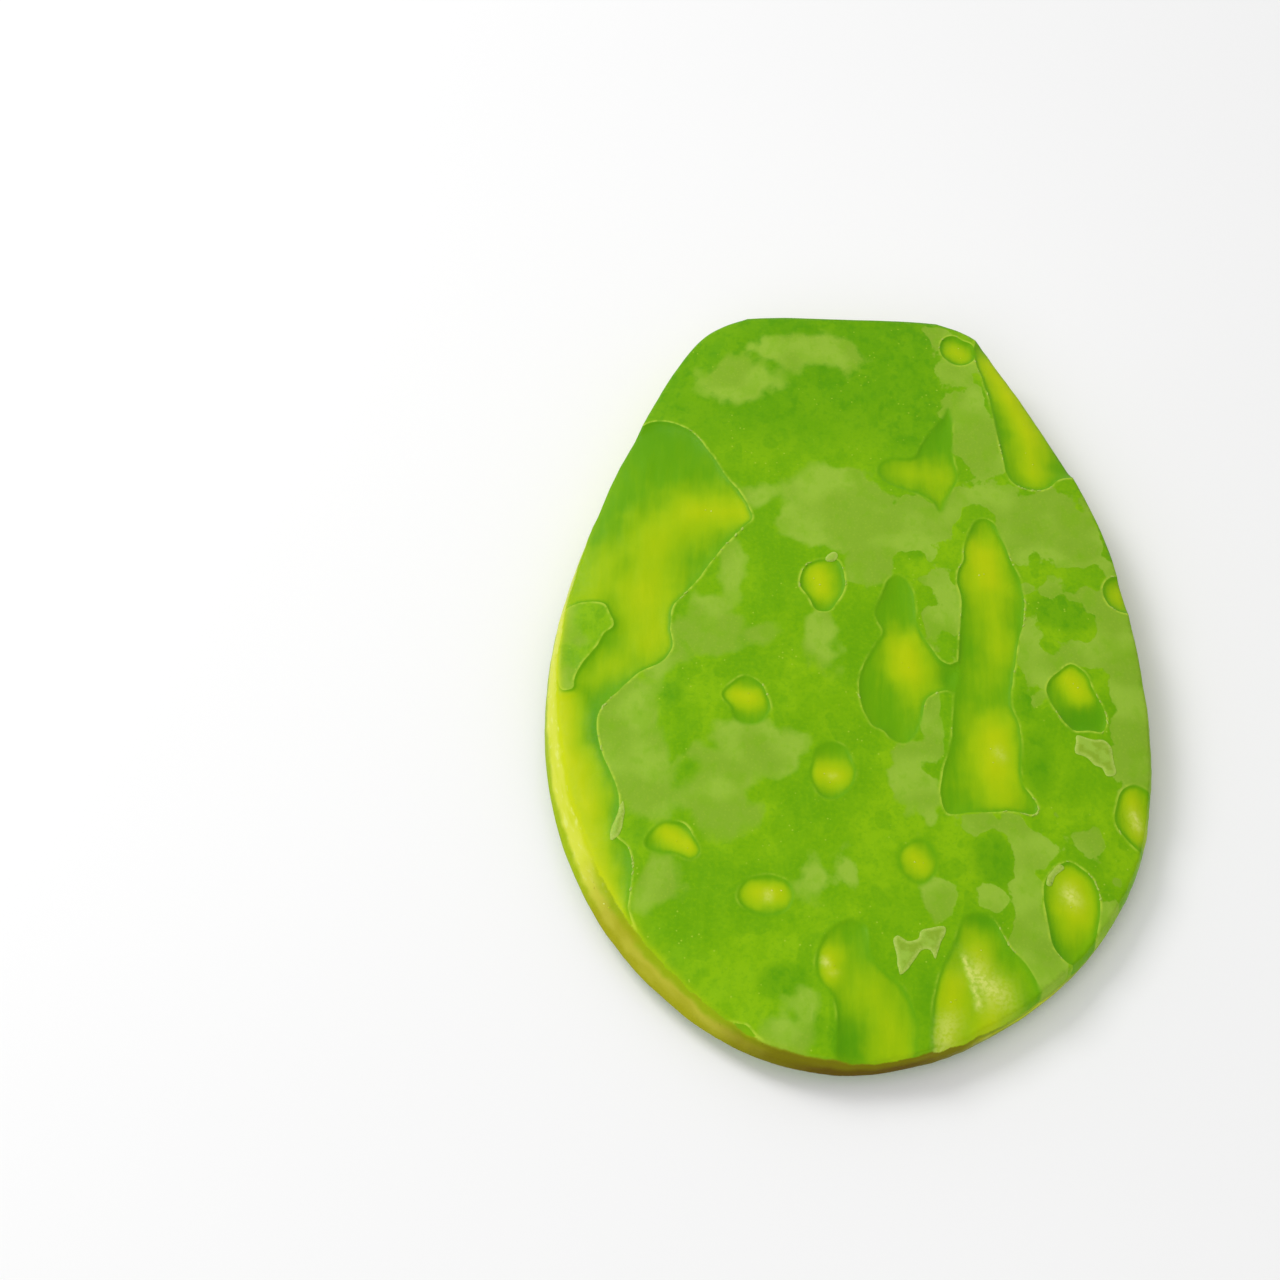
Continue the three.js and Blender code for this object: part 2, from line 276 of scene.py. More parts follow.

# Where the skin has dried to a pale bloom, painted paler still with the sheen of its rough wax: (x, y, half
# width, half length), and for some a turn in degrees.
BLOOM_AND_SHEEN = [
    (-7, 33, 7, 8), (-2, 31, 8, 8), (6, 32, 9, 9), (15, 31, 7, 8), (5, 21, 4, 5), (-18, 38, 4, 3, 20),
    (22, 35, 4, 4), (33, 40, 14, 4), (42, 33, 10, 11), (50, 27, 5, 14, 10), (29, 51, 5, 12),
    (27, 65, 5, 7), (25, 75, 3.5, 5), (44, 16, 9, 2.2), (56, 10, 6, 16, 8), (58, -12, 5, 26),
    (38, 0, 3, 11), (47, 0, 6, 3.5), (42, -3, 4, 4), (-24, 21, 2.6, 6), (-27, 11, 5, 4), (-28, 3, 8, 6),
    (-35, -3, 5, 7, -20), (-18, 3, 3, 2), (-44, -17, 7, 9), (-43, -28, 8, 9), (-36, -36, 7, 5),
    (-18, -25, 9, 7), (-26, -31, 8, 7), (-24, -40, 6, 5), (-35.5, -56, 5, 6.5), (-5, 6, 3, 7),
    (-3, -3, 3.2, 4), (22, 8, 1.6, 9), (17, -15, 2.4, 5), (15, -25, 4, 4), (14, -33, 4, 5),
    (30, -41, 9, 2.6), (36, -46, 5, 6), (34, -55, 3.4, 8), (35, -66, 5, 8), (37, -74, 4, 4),
    (28, -58, 4, 3), (18, -56, 3, 4), (46, -44.5, 4, 3.6), (50, -62, 2, 7, -15), (46.5, -70, 2, 4, -35),
    (0, -52, 1.6, 2.6), (-7, -55, 1.8, 3), (-12, -87, 4, 5, 15), (-9, -82, 3, 3), (21, 86, 3, 5),
    (-5, 82, 12, 6), (-22, 72, 8, 7), (-57, 4, 1.7, 6, 10), (-55.8, -8, 3, 4.6), (19.5, 9, 3, 8),
    (0, 41, 10, 5), (52, 24, 5, 5), (27, 80, 4, 4),
]

# Where it is still wet among them, in the same form.
WET_SPOTS = [
    (46, 21, 9, 3), (46, 8, 7, 5), (-34, -12, 5, 6), (-31, -30, 2.4, 2.6), (-27.5, 14, 3, 2),
    (-52.4, 3.6, 3.4, 6, 14),
]

# Where the wet skin is darkest, in the same form. Two of them are painted shade: the spot at (14, 58), where
# a neighbouring pad's shadow is painted, and the one at (47.5, -15), in the lower half of the right middle
# scoop.
DEEP_AND_SHADED_SPOTS = [
    (0, -88, 5, 4.5), (-7, -86, 4, 3), (36.5, -12, 2.4, 6), (38, -26, 3.4, 8), (38, -68, 3, 4),
    (46, 11, 8, 5), (20, -6, 2, 3.4), (-12, -77, 5, 4), (14.6, -80, 1.8, 9), (-35, -12, 3, 3),
    (-31, -30, 1.6, 1.6), (15, 25, 3.4, 2.6), (26, -62.6, 3, 1.6), (14, 58, 6, 5), (-40, -44, 2, 4),
    (28.5, -49, 4, 6), (47.5, -15, 4.6, 4), (48, -46, 2, 5), (-50, -20, 2, 9),
]
DEEP_WIDTH = 3  # of such a spot's edge
DEEP_SHIFT = 0.4  # share of that edge that lies outside the spot

# The edge of a dried patch is crisp on the right and softer to the left, from x: (start, width).
SOFT_LEAST = 0.5
SOFT_MORE = 2.6
SOFT_FROM_X = (18, 40)

# Painted shadow: the whole skin is darker towards the stem end, up from y and left from x: (start, width).
SHADE_FROM_Y = (40, 26)
SHADE_FROM_X = (30, 12)

# ---- The profile of a knife cut ----

LIP_PLACE = -0.14  # the raised lip's distance inside the cut's outline
LIP_WIDTH = 0.17
STEP_WIDTH = 0.35  # of the step down through the skin
FLOOR_START = 0.1  # distance inside the outline where the hollow begins
FLOOR_RUN = 1.7  # how slowly its floor falls
FLOOR_RISE = 0.25  # share of its depth that a hollow loses at a heart
GLOW_START = -0.3  # distance inside the outline where the hearts begin to show
GLOW_RUN = 1.6
RUN_OUT = 0.35  # how far the cuts fall away at the rim
RUN_OUT_START = 2.5
RUN_OUT_WIDTH = 3.5
RELIEF_WIDTH = 0.6  # distance inside a cut over which the skin's relief gives way to the knife's
RELIEF_LOSS = 0.5  # share of the skin's relief that is gone there
RIDGE_HIGHLIGHT_WIDTH = 0.7  # of the painted highlight along the rim's upper edge
STROKE_END = 0.75  # how fast a heart's stroke fades past its ends, against beside it
STROKE_JOIN = 4  # the lower, the softer strokes run into each other
STROKE_FADE = 0.9
STROKE_POWER = 1.6  # the higher, the flatter a stroke's middle is

# ---- Cuts on the underside, which stand in slanting rows ----

UNDER_ROW_STEP = np.array([26, 15])
UNDER_COLUMN_STEP = np.array([-14, 31])
UNDER_START = np.array([7, 4])
UNDER_NUMBERS = range(-4, 5)  # of the rows and columns that may reach the pad
UNDER_CORNERS = 12
UNDER_SCOOP = (6, 4.6)
UNDER_VARIATION = 0.15
UNDER_TURN = 12  # degrees to either side
UNDER_LOPSIDED = 0.12
UNDER_DEPTH = 0.9
UNDER_CRISP = 0.8
UNDER_HEART = (0.8, 2.6, 0.9)  # half length, radius and strength
UNDER_LEAN = 0.1  # how far a heart leans over its length
UNDER_EDGE_GAP = 9
UNDER_ROUGHNESS = 0.12  # height of the skin's relief there
UNDER_ROUGH_FROM = 0.3  # height over the surface it rests on from which that relief is full
UNDER_SOFTNESS = 1.5
UNDER_DEEPNESS = 0.45

# ---- The flesh of the stem cut, which sinks a little behind its skin ----

STEM_SINK = 0.35
STEM_SINK_ACROSS = 2.2  # distance from its corners over which it sinks
STEM_SINK_DOWN = 2  # distance from the faces over which it sinks
STEM_RING_GAP = 0.8  # about how far apart its rings of points are
STEM_RIDGE_LENGTH = 2  # of its fine ridges, against their width
STEM_RIDGE_MARGIN = 1.5

# ---- Unevenness ----

# A layer of noise: how much, how wide its lumps are, its seed, and how much longer they are than wide.
Layer = namedtuple("Layer", "amount size seed stretch", defaults=(1,))
STROKE_WAVER = (Layer(0.16, 5, 1), Layer(0.1, 2.1, 2))
CRISP_WAVER = (Layer(0.35, 6, 3), Layer(0.15, 2.2, 4))
SKIN_RELIEF = (Layer(0.13, 11, 5), Layer(0.05, 3.7, 6))
CUT_RELIEF = (Layer(0.05, 1.9, 7, 3), Layer(0.07, 4.3, 8))
SOFT_WAVER = (Layer(0.3, 18, 9),)
RIM_WAVER = (Layer(0.12, 9, 11), Layer(0.05, 2.5, 12))
RIM_CUT_WAVER = (Layer(0.12, 6, 13),)
UNDER_RELIEF = (Layer(1, 9, 15),)
UNDER_DRY = (Layer(5, 19, 16), Layer(2.5, 8, 17))
UNDER_SOFT = (Layer(1, 18, 18),)
UNDER_DEEP = (Layer(0.3, 13, 19),)
RIM_LINE_WAVER = (Layer(0.06, 14, 31),)
WALL_SWELL = (Layer(0.6, 17, 33),)
RISING_FIBRES = (Layer(0.07, 2.2, 34, 1 / 3),)
FALLING_FIBRES = (Layer(0.04, 0.9, 35),)
STREAKS = (Layer(0.6, 9, 36, 1 / 5), Layer(0.4, 3.4, 37, 1 / 4))
STEM_RIDGES = (Layer(0.12, 1.6, 41),)
KNIFE_WAVER = 0.12  # of a hand-held knife's line
KNIFE_LUMPS = (3.1, 1.3)  # widths of that waver's two layers

# First seeds of the other random draws.
UPPER_CUT_SEED = 21
UNDER_CUT_SEED = 81
ISLAND_SEED = 112
UPPER_GRID_SEED = 51
UNDER_GRID_SEED = 52
SCRAP_LOOP_SEED = 60
SCRAP_GRID_SEED = 70
SCRAP_CURL_SEED = 80
BEAD_SEED = 5

# ---- Mesh fineness ----

KNIFE_LINES = (-0.28, 0, 0.34, 0.7)  # extra lines of points, at these distances inside a cut's outline
LINE_STEP = 0.55
LINE_SLACK = 0.12  # how far a knife line may be off its distance where cuts meet
LINE_GUARD = 0.3  # least distance from other points to a knife line
EDGE_GUARD = 0.36  # least distance from other points to the edge of a face
EDGE_SHARE = 0.45  # the same, as a share of the face's step
EDGE_SAMPLE = 0.12  # distance between the points that stand for an edge when distances to it are measured
GRID_SHAKE = 0.05  # unevenness of a face's grid, as a share of its step
DELAUNAY_GAP = 1e-5
CURVE_SAMPLES = 40  # on each stretch of a smooth loop, before its points are spaced
LEAST_STEPS = 8
RIM_SAMPLE = 0.5
RIM_STEP = 0.62
SIDE_SHARE = 0.9  # share of the rim's outline that isn't past the stem cut
WALL_UPPER = (0.07, 0.17, 0.3, 0.44, 0.58, 0.72, 0.86)
WALL_LOWER = (0.14, 0.3, 0.48, 0.66, 0.82, 0.93)
UPPER_BULGE = 0.3
LOWER_BULGE = 0.25
CORNER_STEPS = 5  # over which the bulge dies out at the corners of the stem cut
FAR = 6.0  # distances to a cut's outline are measured this far out
NOISE_TABLE = 97


# ---- Curves, distances and noise ----


def ease(t):
    """A smooth step from 0 to 1."""
    s = np.clip(t, 0, 1)
    return s * s * (3 - 2 * s)


def lumps(x, y, size, seed):
    """Smooth noise from -1 to 1, with lumps about size millimetres across."""
    table = np.random.default_rng(seed).uniform(-1, 1, (NOISE_TABLE, NOISE_TABLE))
    u, v = x / size, y / size
    column, row = np.floor(u).astype(int), np.floor(v).astype(int)
    s, t = ease(u - column), ease(v - row)

    def corner(i, j):
        return table[(column + i) % NOISE_TABLE, (row + j) % NOISE_TABLE]

    near = corner(0, 0) * (1 - s) + corner(1, 0) * s
    far = corner(0, 1) * (1 - s) + corner(1, 1) * s
    return near * (1 - t) + far * t


def uneven(x, y, layers):
    """The sum of some layers of noise at each point."""
    return sum(layer.amount * lumps(x, y / layer.stretch, layer.size, layer.seed) for layer in layers)


def travelled(line):
    """The distance along the line from its start to each of its points."""
    return np.r_[0, np.cumsum(np.hypot(*np.diff(line, axis=0).T))]


def spaced(line, count):
    """The line's points, moved to count equal steps along it."""
    along = travelled(line)
    wanted = np.linspace(0, along[-1], count + 1)
    return np.stack([np.interp(wanted, along, line[:, axis]) for axis in (0, 1)], axis=1)


def closed(loop):
    """The loop as a line that ends at its first point."""
    return np.vstack([loop, loop[:1]])


def smooth_loop(corners, step):
    """Points about step apart on the closed centripetal curve through the corners."""
    p1 = np.array(corners, float)
    p0, p2, p3 = np.roll(p1, 1, 0), np.roll(p1, -1, 0), np.roll(p1, -2, 0)
    d0, d1, d2 = (np.sqrt(np.hypot(*(b - a).T))[:, None] for a, b in ((p0, p1), (p1, p2), (p2, p3)))
    start = ((p1 - p0) / d0 - (p2 - p0) / (d0 + d1) + (p2 - p1) / d1) * d1
    end = ((p2 - p1) / d1 - (p3 - p1) / (d1 + d2) + (p3 - p2) / d2) * d1
    t = np.linspace(0, 1, CURVE_SAMPLES, endpoint=False)[None, :, None]
    a, b, m, n = (v[:, None, :] for v in (p1, p2, start, end))
    curve = closed((
        (2 * t**3 - 3 * t**2 + 1) * a + (t**3 - 2 * t**2 + t) * m
        + (3 * t**2 - 2 * t**3) * b + (t**3 - t**2) * n
    ).reshape(-1, 2))
    return spaced(curve, max(LEAST_STEPS, round(travelled(curve)[-1] / step)))[:-1]


def outward(loop):
    """Unit vectors that point out of an anticlockwise loop, one for each point."""
    along = np.roll(loop, -1, 0) - np.roll(loop, 1, 0)
    along /= np.hypot(*along.T)[:, None]
    return np.stack([along[:, 1], -along[:, 0]], axis=1)


def knife_loop(corners, seed, step=LINE_STEP, amount=KNIFE_WAVER):
    """The anticlockwise loop through some corners, with the small waver of a hand-held knife."""
    loop = smooth_loop(corners, step)
    x, y = loop.T
    if (x * np.roll(y, -1) - np.roll(x, -1) * y).sum() < 0:
        loop = loop[::-1]
    waver = uneven(*loop.T, (Layer(1, KNIFE_LUMPS[0], seed), Layer(0.5, KNIFE_LUMPS[1], seed + 1)))
    return loop + outward(loop) * (amount * waver)[:, None]


def points_inside(points, loop):
    """Which of the points lie inside a closed loop."""
    x, y = points.T
    inside = np.zeros(len(points), bool)
    for (ax, ay), (bx, by) in zip(loop, np.roll(loop, -1, 0)):
        if ay != by:
            crosses = (ay > y) != (by > y)
            inside ^= crosses & (x - ax < (bx - ax) * (y - ay) / (by - ay))
    return inside


def depth_inside(points, loop):
    """How far each point lies inside a closed loop: negative outside, and never below -FAR."""
    result = np.full(len(points), -FAR)
    box = (points > loop.min(0) - FAR) & (points < loop.max(0) + FAR)
    near = np.flatnonzero(box.all(1))
    p = points[near]
    nearest = np.full(len(near), FAR**2)
    for a, b in zip(loop, np.roll(loop, -1, 0)):
        side, rel = b - a, p - a
        share = np.clip(rel @ side / (side @ side), 0, 1)
        gap = rel - share[:, None] * side
        nearest = np.minimum(nearest, (gap**2).sum(1))
    result[near] = np.where(points_inside(p, loop), 1, -1) * np.sqrt(nearest)
    return result


def along_line(points, ax, ay, bx, by):
    """How far along a line from its start each point lies, how far to its right, and the line's length."""
    length = math.hypot(bx - ax, by - ay)
    ux, uy = (bx - ax) / length, (by - ay) / length
    x, y = points.T
    return (x - ax) * ux + (y - ay) * uy, (x - ax) * uy - (y - ay) * ux, length


def stroke_glow(points, strokes):
    """The strength of each stroke (x, y, x, y, radius, strength), fading unevenly past its radius."""
    glow = np.zeros(len(points))
    waver = 1 + uneven(*points.T, STROKE_WAVER)
    for *ends, radius, strength in strokes:
        along, beside, length = along_line(points, *ends)
        past_end = np.maximum(np.maximum(-along, along - length), 0)
        gap = np.hypot(beside, STROKE_END * past_end) / radius * waver
        glow += (strength * np.exp(-STROKE_FADE * gap**STROKE_POWER)) ** STROKE_JOIN
    return glow ** (1 / STROKE_JOIN)


def patch_depth(points, patches):
    """About how far, in millimetres, each point lies inside the nearest of the oval patches."""
    deepest = np.full(len(points), -2 * FAR)
    for x, y, half_width, half_length, *turn in patches:
        angle = math.radians(turn[0] if turn else 0)
        c, s = math.cos(angle), math.sin(angle)
        u, v = (points - (x, y)).T
        ratio = np.hypot((u * c + v * s) / half_width, (v * c - u * s) / half_length)
        deepest = np.maximum(deepest, (1 - ratio) * min(half_width, half_length))
    return deepest


def crease_sides(points):
    """How far each point lies on the crease's higher side, and 1 beside it, falling to 0 past its ends."""
    along, right, length = along_line(points, *CREASE[0], *CREASE[1])
    fade = ease((along + CREASE_PAST) / CREASE_FADE) * ease((length - along + CREASE_PAST) / CREASE_FADE)
    return -right, fade


# ---- The pad's surfaces ----


def upper_height(x, y):
    """The uncut upper face, before it falls away at the rim."""
    rise = STEM_RISE * ease((y + STEM_CUT_Y) / RISE_LENGTH)
    waves = np.sin(x / 11 + 0.6) * np.sin(y / 15 - 0.4) + 0.7 * np.sin((x + 2 * y) / 25)
    return TIP_HEIGHT + rise - CROWN * (x / HALF_WIDTH) ** 2 + SWELL * waves


def under_height(x, y):
    """The uncut underside: nothing over the flat spot, then an easy rise to the rim."""
    out = np.maximum(np.hypot(x / FLAT_HALF_WIDTH, (y - FLAT_Y) / FLAT_HALF_LENGTH) - 1, 0)
    return UNDER_LIFT * out**UNDER_POWER / (1 + UNDER_EASE * out)


def near_direction(angle, degrees, spread):
    """1 towards one direction from the middle, and 0 well away from it."""
    return np.exp((np.cos(angle - math.radians(degrees)) - 1) * (DEGREES_IN_RADIAN / spread) ** 2)


def rim_cut(angle):
    """Width of the sloping cut round the rim at a direction from the middle."""
    extra = sum(width * near_direction(angle, degrees, spread) for degrees, spread, width in WIDER_RIM_CUT)
    return RIM_CUT + extra


def under_cuts(edge):
    """The rows of scoops on the underside, kept clear of the edge loop."""
    cuts = []
    turns = np.linspace(0, 2 * math.pi, UNDER_CORNERS, endpoint=False)
    half, radius, strength = UNDER_HEART
    for row, column in itertools.product(UNDER_NUMBERS, UNDER_NUMBERS):
        middle = UNDER_START + row * UNDER_ROW_STEP + column * UNDER_COLUMN_STEP
        gap = np.hypot(*(edge - middle).T).min()
        if gap < UNDER_EDGE_GAP or not points_inside(middle[None], edge)[0]:
            continue
        vary = 1 + UNDER_VARIATION * math.sin(5 * row + 3 * column)
        length, width = UNDER_SCOOP[0] * vary, UNDER_SCOOP[1] / vary
        turn = math.radians(UNDER_TURN * math.sin(row - 2 * column))
        u, v = -width * np.sin(turns), length * np.cos(turns)
        u = u * (1 + UNDER_LOPSIDED * np.sin(3 * turns + row))
        x = middle[0] + u * math.cos(turn) - v * math.sin(turn)
        y = middle[1] + u * math.sin(turn) + v * math.cos(turn)
        heart = (middle[0], middle[1] + half, middle[0] + UNDER_LEAN, middle[1] - half, radius, strength)
        cuts.append(Cut(list(zip(x, y)), [heart], UNDER_DEPTH * vary, UNDER_CRISP))
    return cuts


def chained(rows):
    """The kept points of some closed rows, given as (points, which are kept), and the pairs of neighbours."""
    pairs, count = [], 0
    for row, kept in rows:
        number = np.cumsum(kept) - 1 + count
        following = np.roll(np.arange(len(row)), -1)
        joined = np.flatnonzero(kept & kept[following])
        pairs += [(int(number[i]), int(number[following[i]])) for i in joined]
        count += int(kept.sum())
    return np.vstack([row[kept] for row, kept in rows]), pairs


class KnifeWork:
    """All the cuts on one face: their loops, and what they do to the points there."""

    def __init__(self, cuts, seed):
        self.cuts = list(cuts)
        self.loops = [knife_loop(cut.outline, seed + 2 * i) for i, cut in enumerate(self.cuts)]
        self.islands = {
            i: knife_loop(cut.island, ISLAND_SEED) for i, cut in enumerate(self.cuts) if cut.island
        }

    def measure(self, points):
        """Distance inside a cut, depth of its floor, glow of its hearts and sharpness of its edge."""
        inside = np.full(len(points), -FAR)
        floor, glow, crisp = np.zeros((3, len(points)))
        for index, (cut, loop) in enumerate(zip(self.cuts, self.loops)):
            depth = depth_inside(points, loop)
            if index in self.islands:
                depth = np.minimum(depth, -depth_inside(points, self.islands[index]))
            crisp[depth > inside] = cut.crisp
            inside = np.maximum(inside, depth)
            reach = 1 - np.exp(-np.maximum(depth - FLOOR_START, 0) / FLOOR_RUN)
            floor = np.maximum(floor, cut.depth * reach)
            near = np.flatnonzero(depth > 0)
            if len(near):
                shown = ease((depth[near] - GLOW_START) / GLOW_RUN)
                glow[near] = np.maximum(glow[near], stroke_glow(points[near], cut.hearts) * shown)
        crisp = np.clip(crisp + uneven(*points.T, CRISP_WAVER), 0, 1)
        return inside, floor, glow, crisp

    def lines(self, edge_gap):
        """Points along the knife lines, and the pairs of them that are joined."""
        rows = []
        outlines = [*((loop, -1) for loop in self.loops), *((loop, 1) for loop in self.islands.values())]
        for loop, side in outlines:
            for inset in KNIFE_LINES:
                row = loop + outward(loop) * (side * inset)
                inside = self.measure(row)[0]
                rows.append((row, (np.abs(inside - inset) < LINE_SLACK) & (edge_gap(row) > EDGE_GUARD)))
        return chained(rows)


# ---- Building one closed mesh ----


def nearest_gap(loop):
    """A function that gives each point's distance to the loop, measured on closely spaced points."""
    line = closed(loop)
    dense = spaced(line, int(travelled(line)[-1] / EDGE_SAMPLE))
    tree = kdtree.KDTree(len(dense))
    for index, (x, y) in enumerate(dense):
        tree.insert((x, y, 0), index)
    tree.balance()
    return lambda points: np.array([tree.find((x, y, 0))[2] for x, y in points])


def hex_grid(loop, step, seed):
    """A slightly uneven grid of points over the box round the loop."""
    low, high = loop.min(0), loop.max(0)
    rows = np.arange(low[1], high[1], step * math.sqrt(0.75))
    across = np.arange(low[0] - step, high[0], step)
    shifts = (np.arange(len(rows)) % 2) * step / 2
    x = (across[None] + shifts[:, None]).ravel()
    y = np.repeat(rows, len(across))
    shake = np.random.default_rng(seed).normal(0, GRID_SHAKE * step, (2, len(x)))
    return np.stack([x, y], axis=1) + shake.T


def fill_face(loop, step, seed, work=None):
    """Triangles over the face inside the loop, with points along the knife lines of its work.

    Gives the points, whose first ones are the loop's own in their order, and the anticlockwise triangles.
    """
    edge_gap = nearest_gap(loop)
    grid = hex_grid(loop, step, seed)
    grid = grid[points_inside(grid, loop)]
    grid = grid[edge_gap(grid) > max(EDGE_GUARD, EDGE_SHARE * step)]
    lines, edges = np.zeros((0, 2)), []
    if work is not None:
        inside = work.measure(grid)[0]
        grid = grid[np.abs(inside[:, None] - np.array(KNIFE_LINES)).min(1) > LINE_GUARD]
        lines, pairs = work.lines(edge_gap)
        in_loop = points_inside(lines, loop)
        number = np.cumsum(in_loop) - 1 + len(loop)
        edges = [(int(number[a]), int(number[b])) for a, b in pairs if in_loop[a] and in_loop[b]]
        lines = lines[in_loop]
    given = [Vector(point) for point in np.vstack([loop, lines, grid])]
    made = delaunay_2d_cdt(given, edges, [list(range(len(loop)))], 0, DELAUNAY_GAP, True)
    points = np.array([tuple(point) for point in made[0]])
    triangles = np.array([face for face, source in zip(made[2], made[5]) if source])
    return loop_first(points, triangles, made[3], len(loop))


def loop_first(points, triangles, sources, count):
    """Renumbers the points so that the loop's own come first, and drops unused ones."""
    place = {source: index for index, found in enumerate(sources) for source in found if source < count}
    first = [place[i] for i in range(count)]
    used = np.zeros(len(points), bool)
    used[triangles.ravel()] = True
    used[first] = False
    order = np.r_[first, np.flatnonzero(used)]
    renumber = np.zeros(len(points), int)
    renumber[order] = np.arange(len(order))
    return points[order], renumber[triangles]


def side_line(rim, inset, limit_y):
    """The rim moved inwards by inset, from the left corner of the stem cut round to the right one."""
    moved = rim - outward(rim) * inset[:, None]
    kept = np.flatnonzero(moved[:, 1] < limit_y)
    ends = []
    for inner, outer in ((kept[0], kept[0] - 1), (kept[-1], kept[-1] + 1)):
        a, b = moved[inner], moved[outer]
        ends.append(a + (b - a) * (limit_y - a[1]) / (b[1] - a[1]))
    return np.vstack([ends[0], moved[kept[0] : kept[-1] + 1], ends[1]])


def edge_loop(rim, inset, height, side_steps, stem_steps):
    """A closed loop round the pad at one height: the steps of its side, then those of its stem cut."""
    side = side_line(rim, inset, STEM_CUT_Y - height * STEM_CUT_SLOPE)
    stem = np.vstack([side[-1], side[0]])
    return np.vstack([spaced(side, side_steps)[:-1], spaced(stem, stem_steps)[:-1]])


def onto_stem_cut(points, shape):
    """Moves those of a ring's points, which come first, that lie along the stem cut onto its plane."""
    stem = np.r_[0, np.arange(shape.side_steps, len(shape.top))]
    points[stem, 1] = STEM_CUT_Y - points[stem, 2] * STEM_CUT_SLOPE
    return points


# Surface values that the finishes read. On the faces: cut is the distance inside a knife cut, glow the
# strength of its hearts, crisp how sharp its edge is, dry the distance inside a dried patch, soft the width
# of that patch's edge, deep how dark the wet skin is together with the painted shadow towards the
# stem end, pale how pale the flesh is, and ridge where a painted highlight lies along the rim's
# upper edge. On the wall: below and above are the distances from its top and its foot, streak the knife's
# streaks, cream the pale fresh cut with a painted highlight on its bevel, tan how it has browned,
# olive how it has browned together with painted shade on the rim's front, stem the stem cut, and
# wrap how far the skin reaches down.


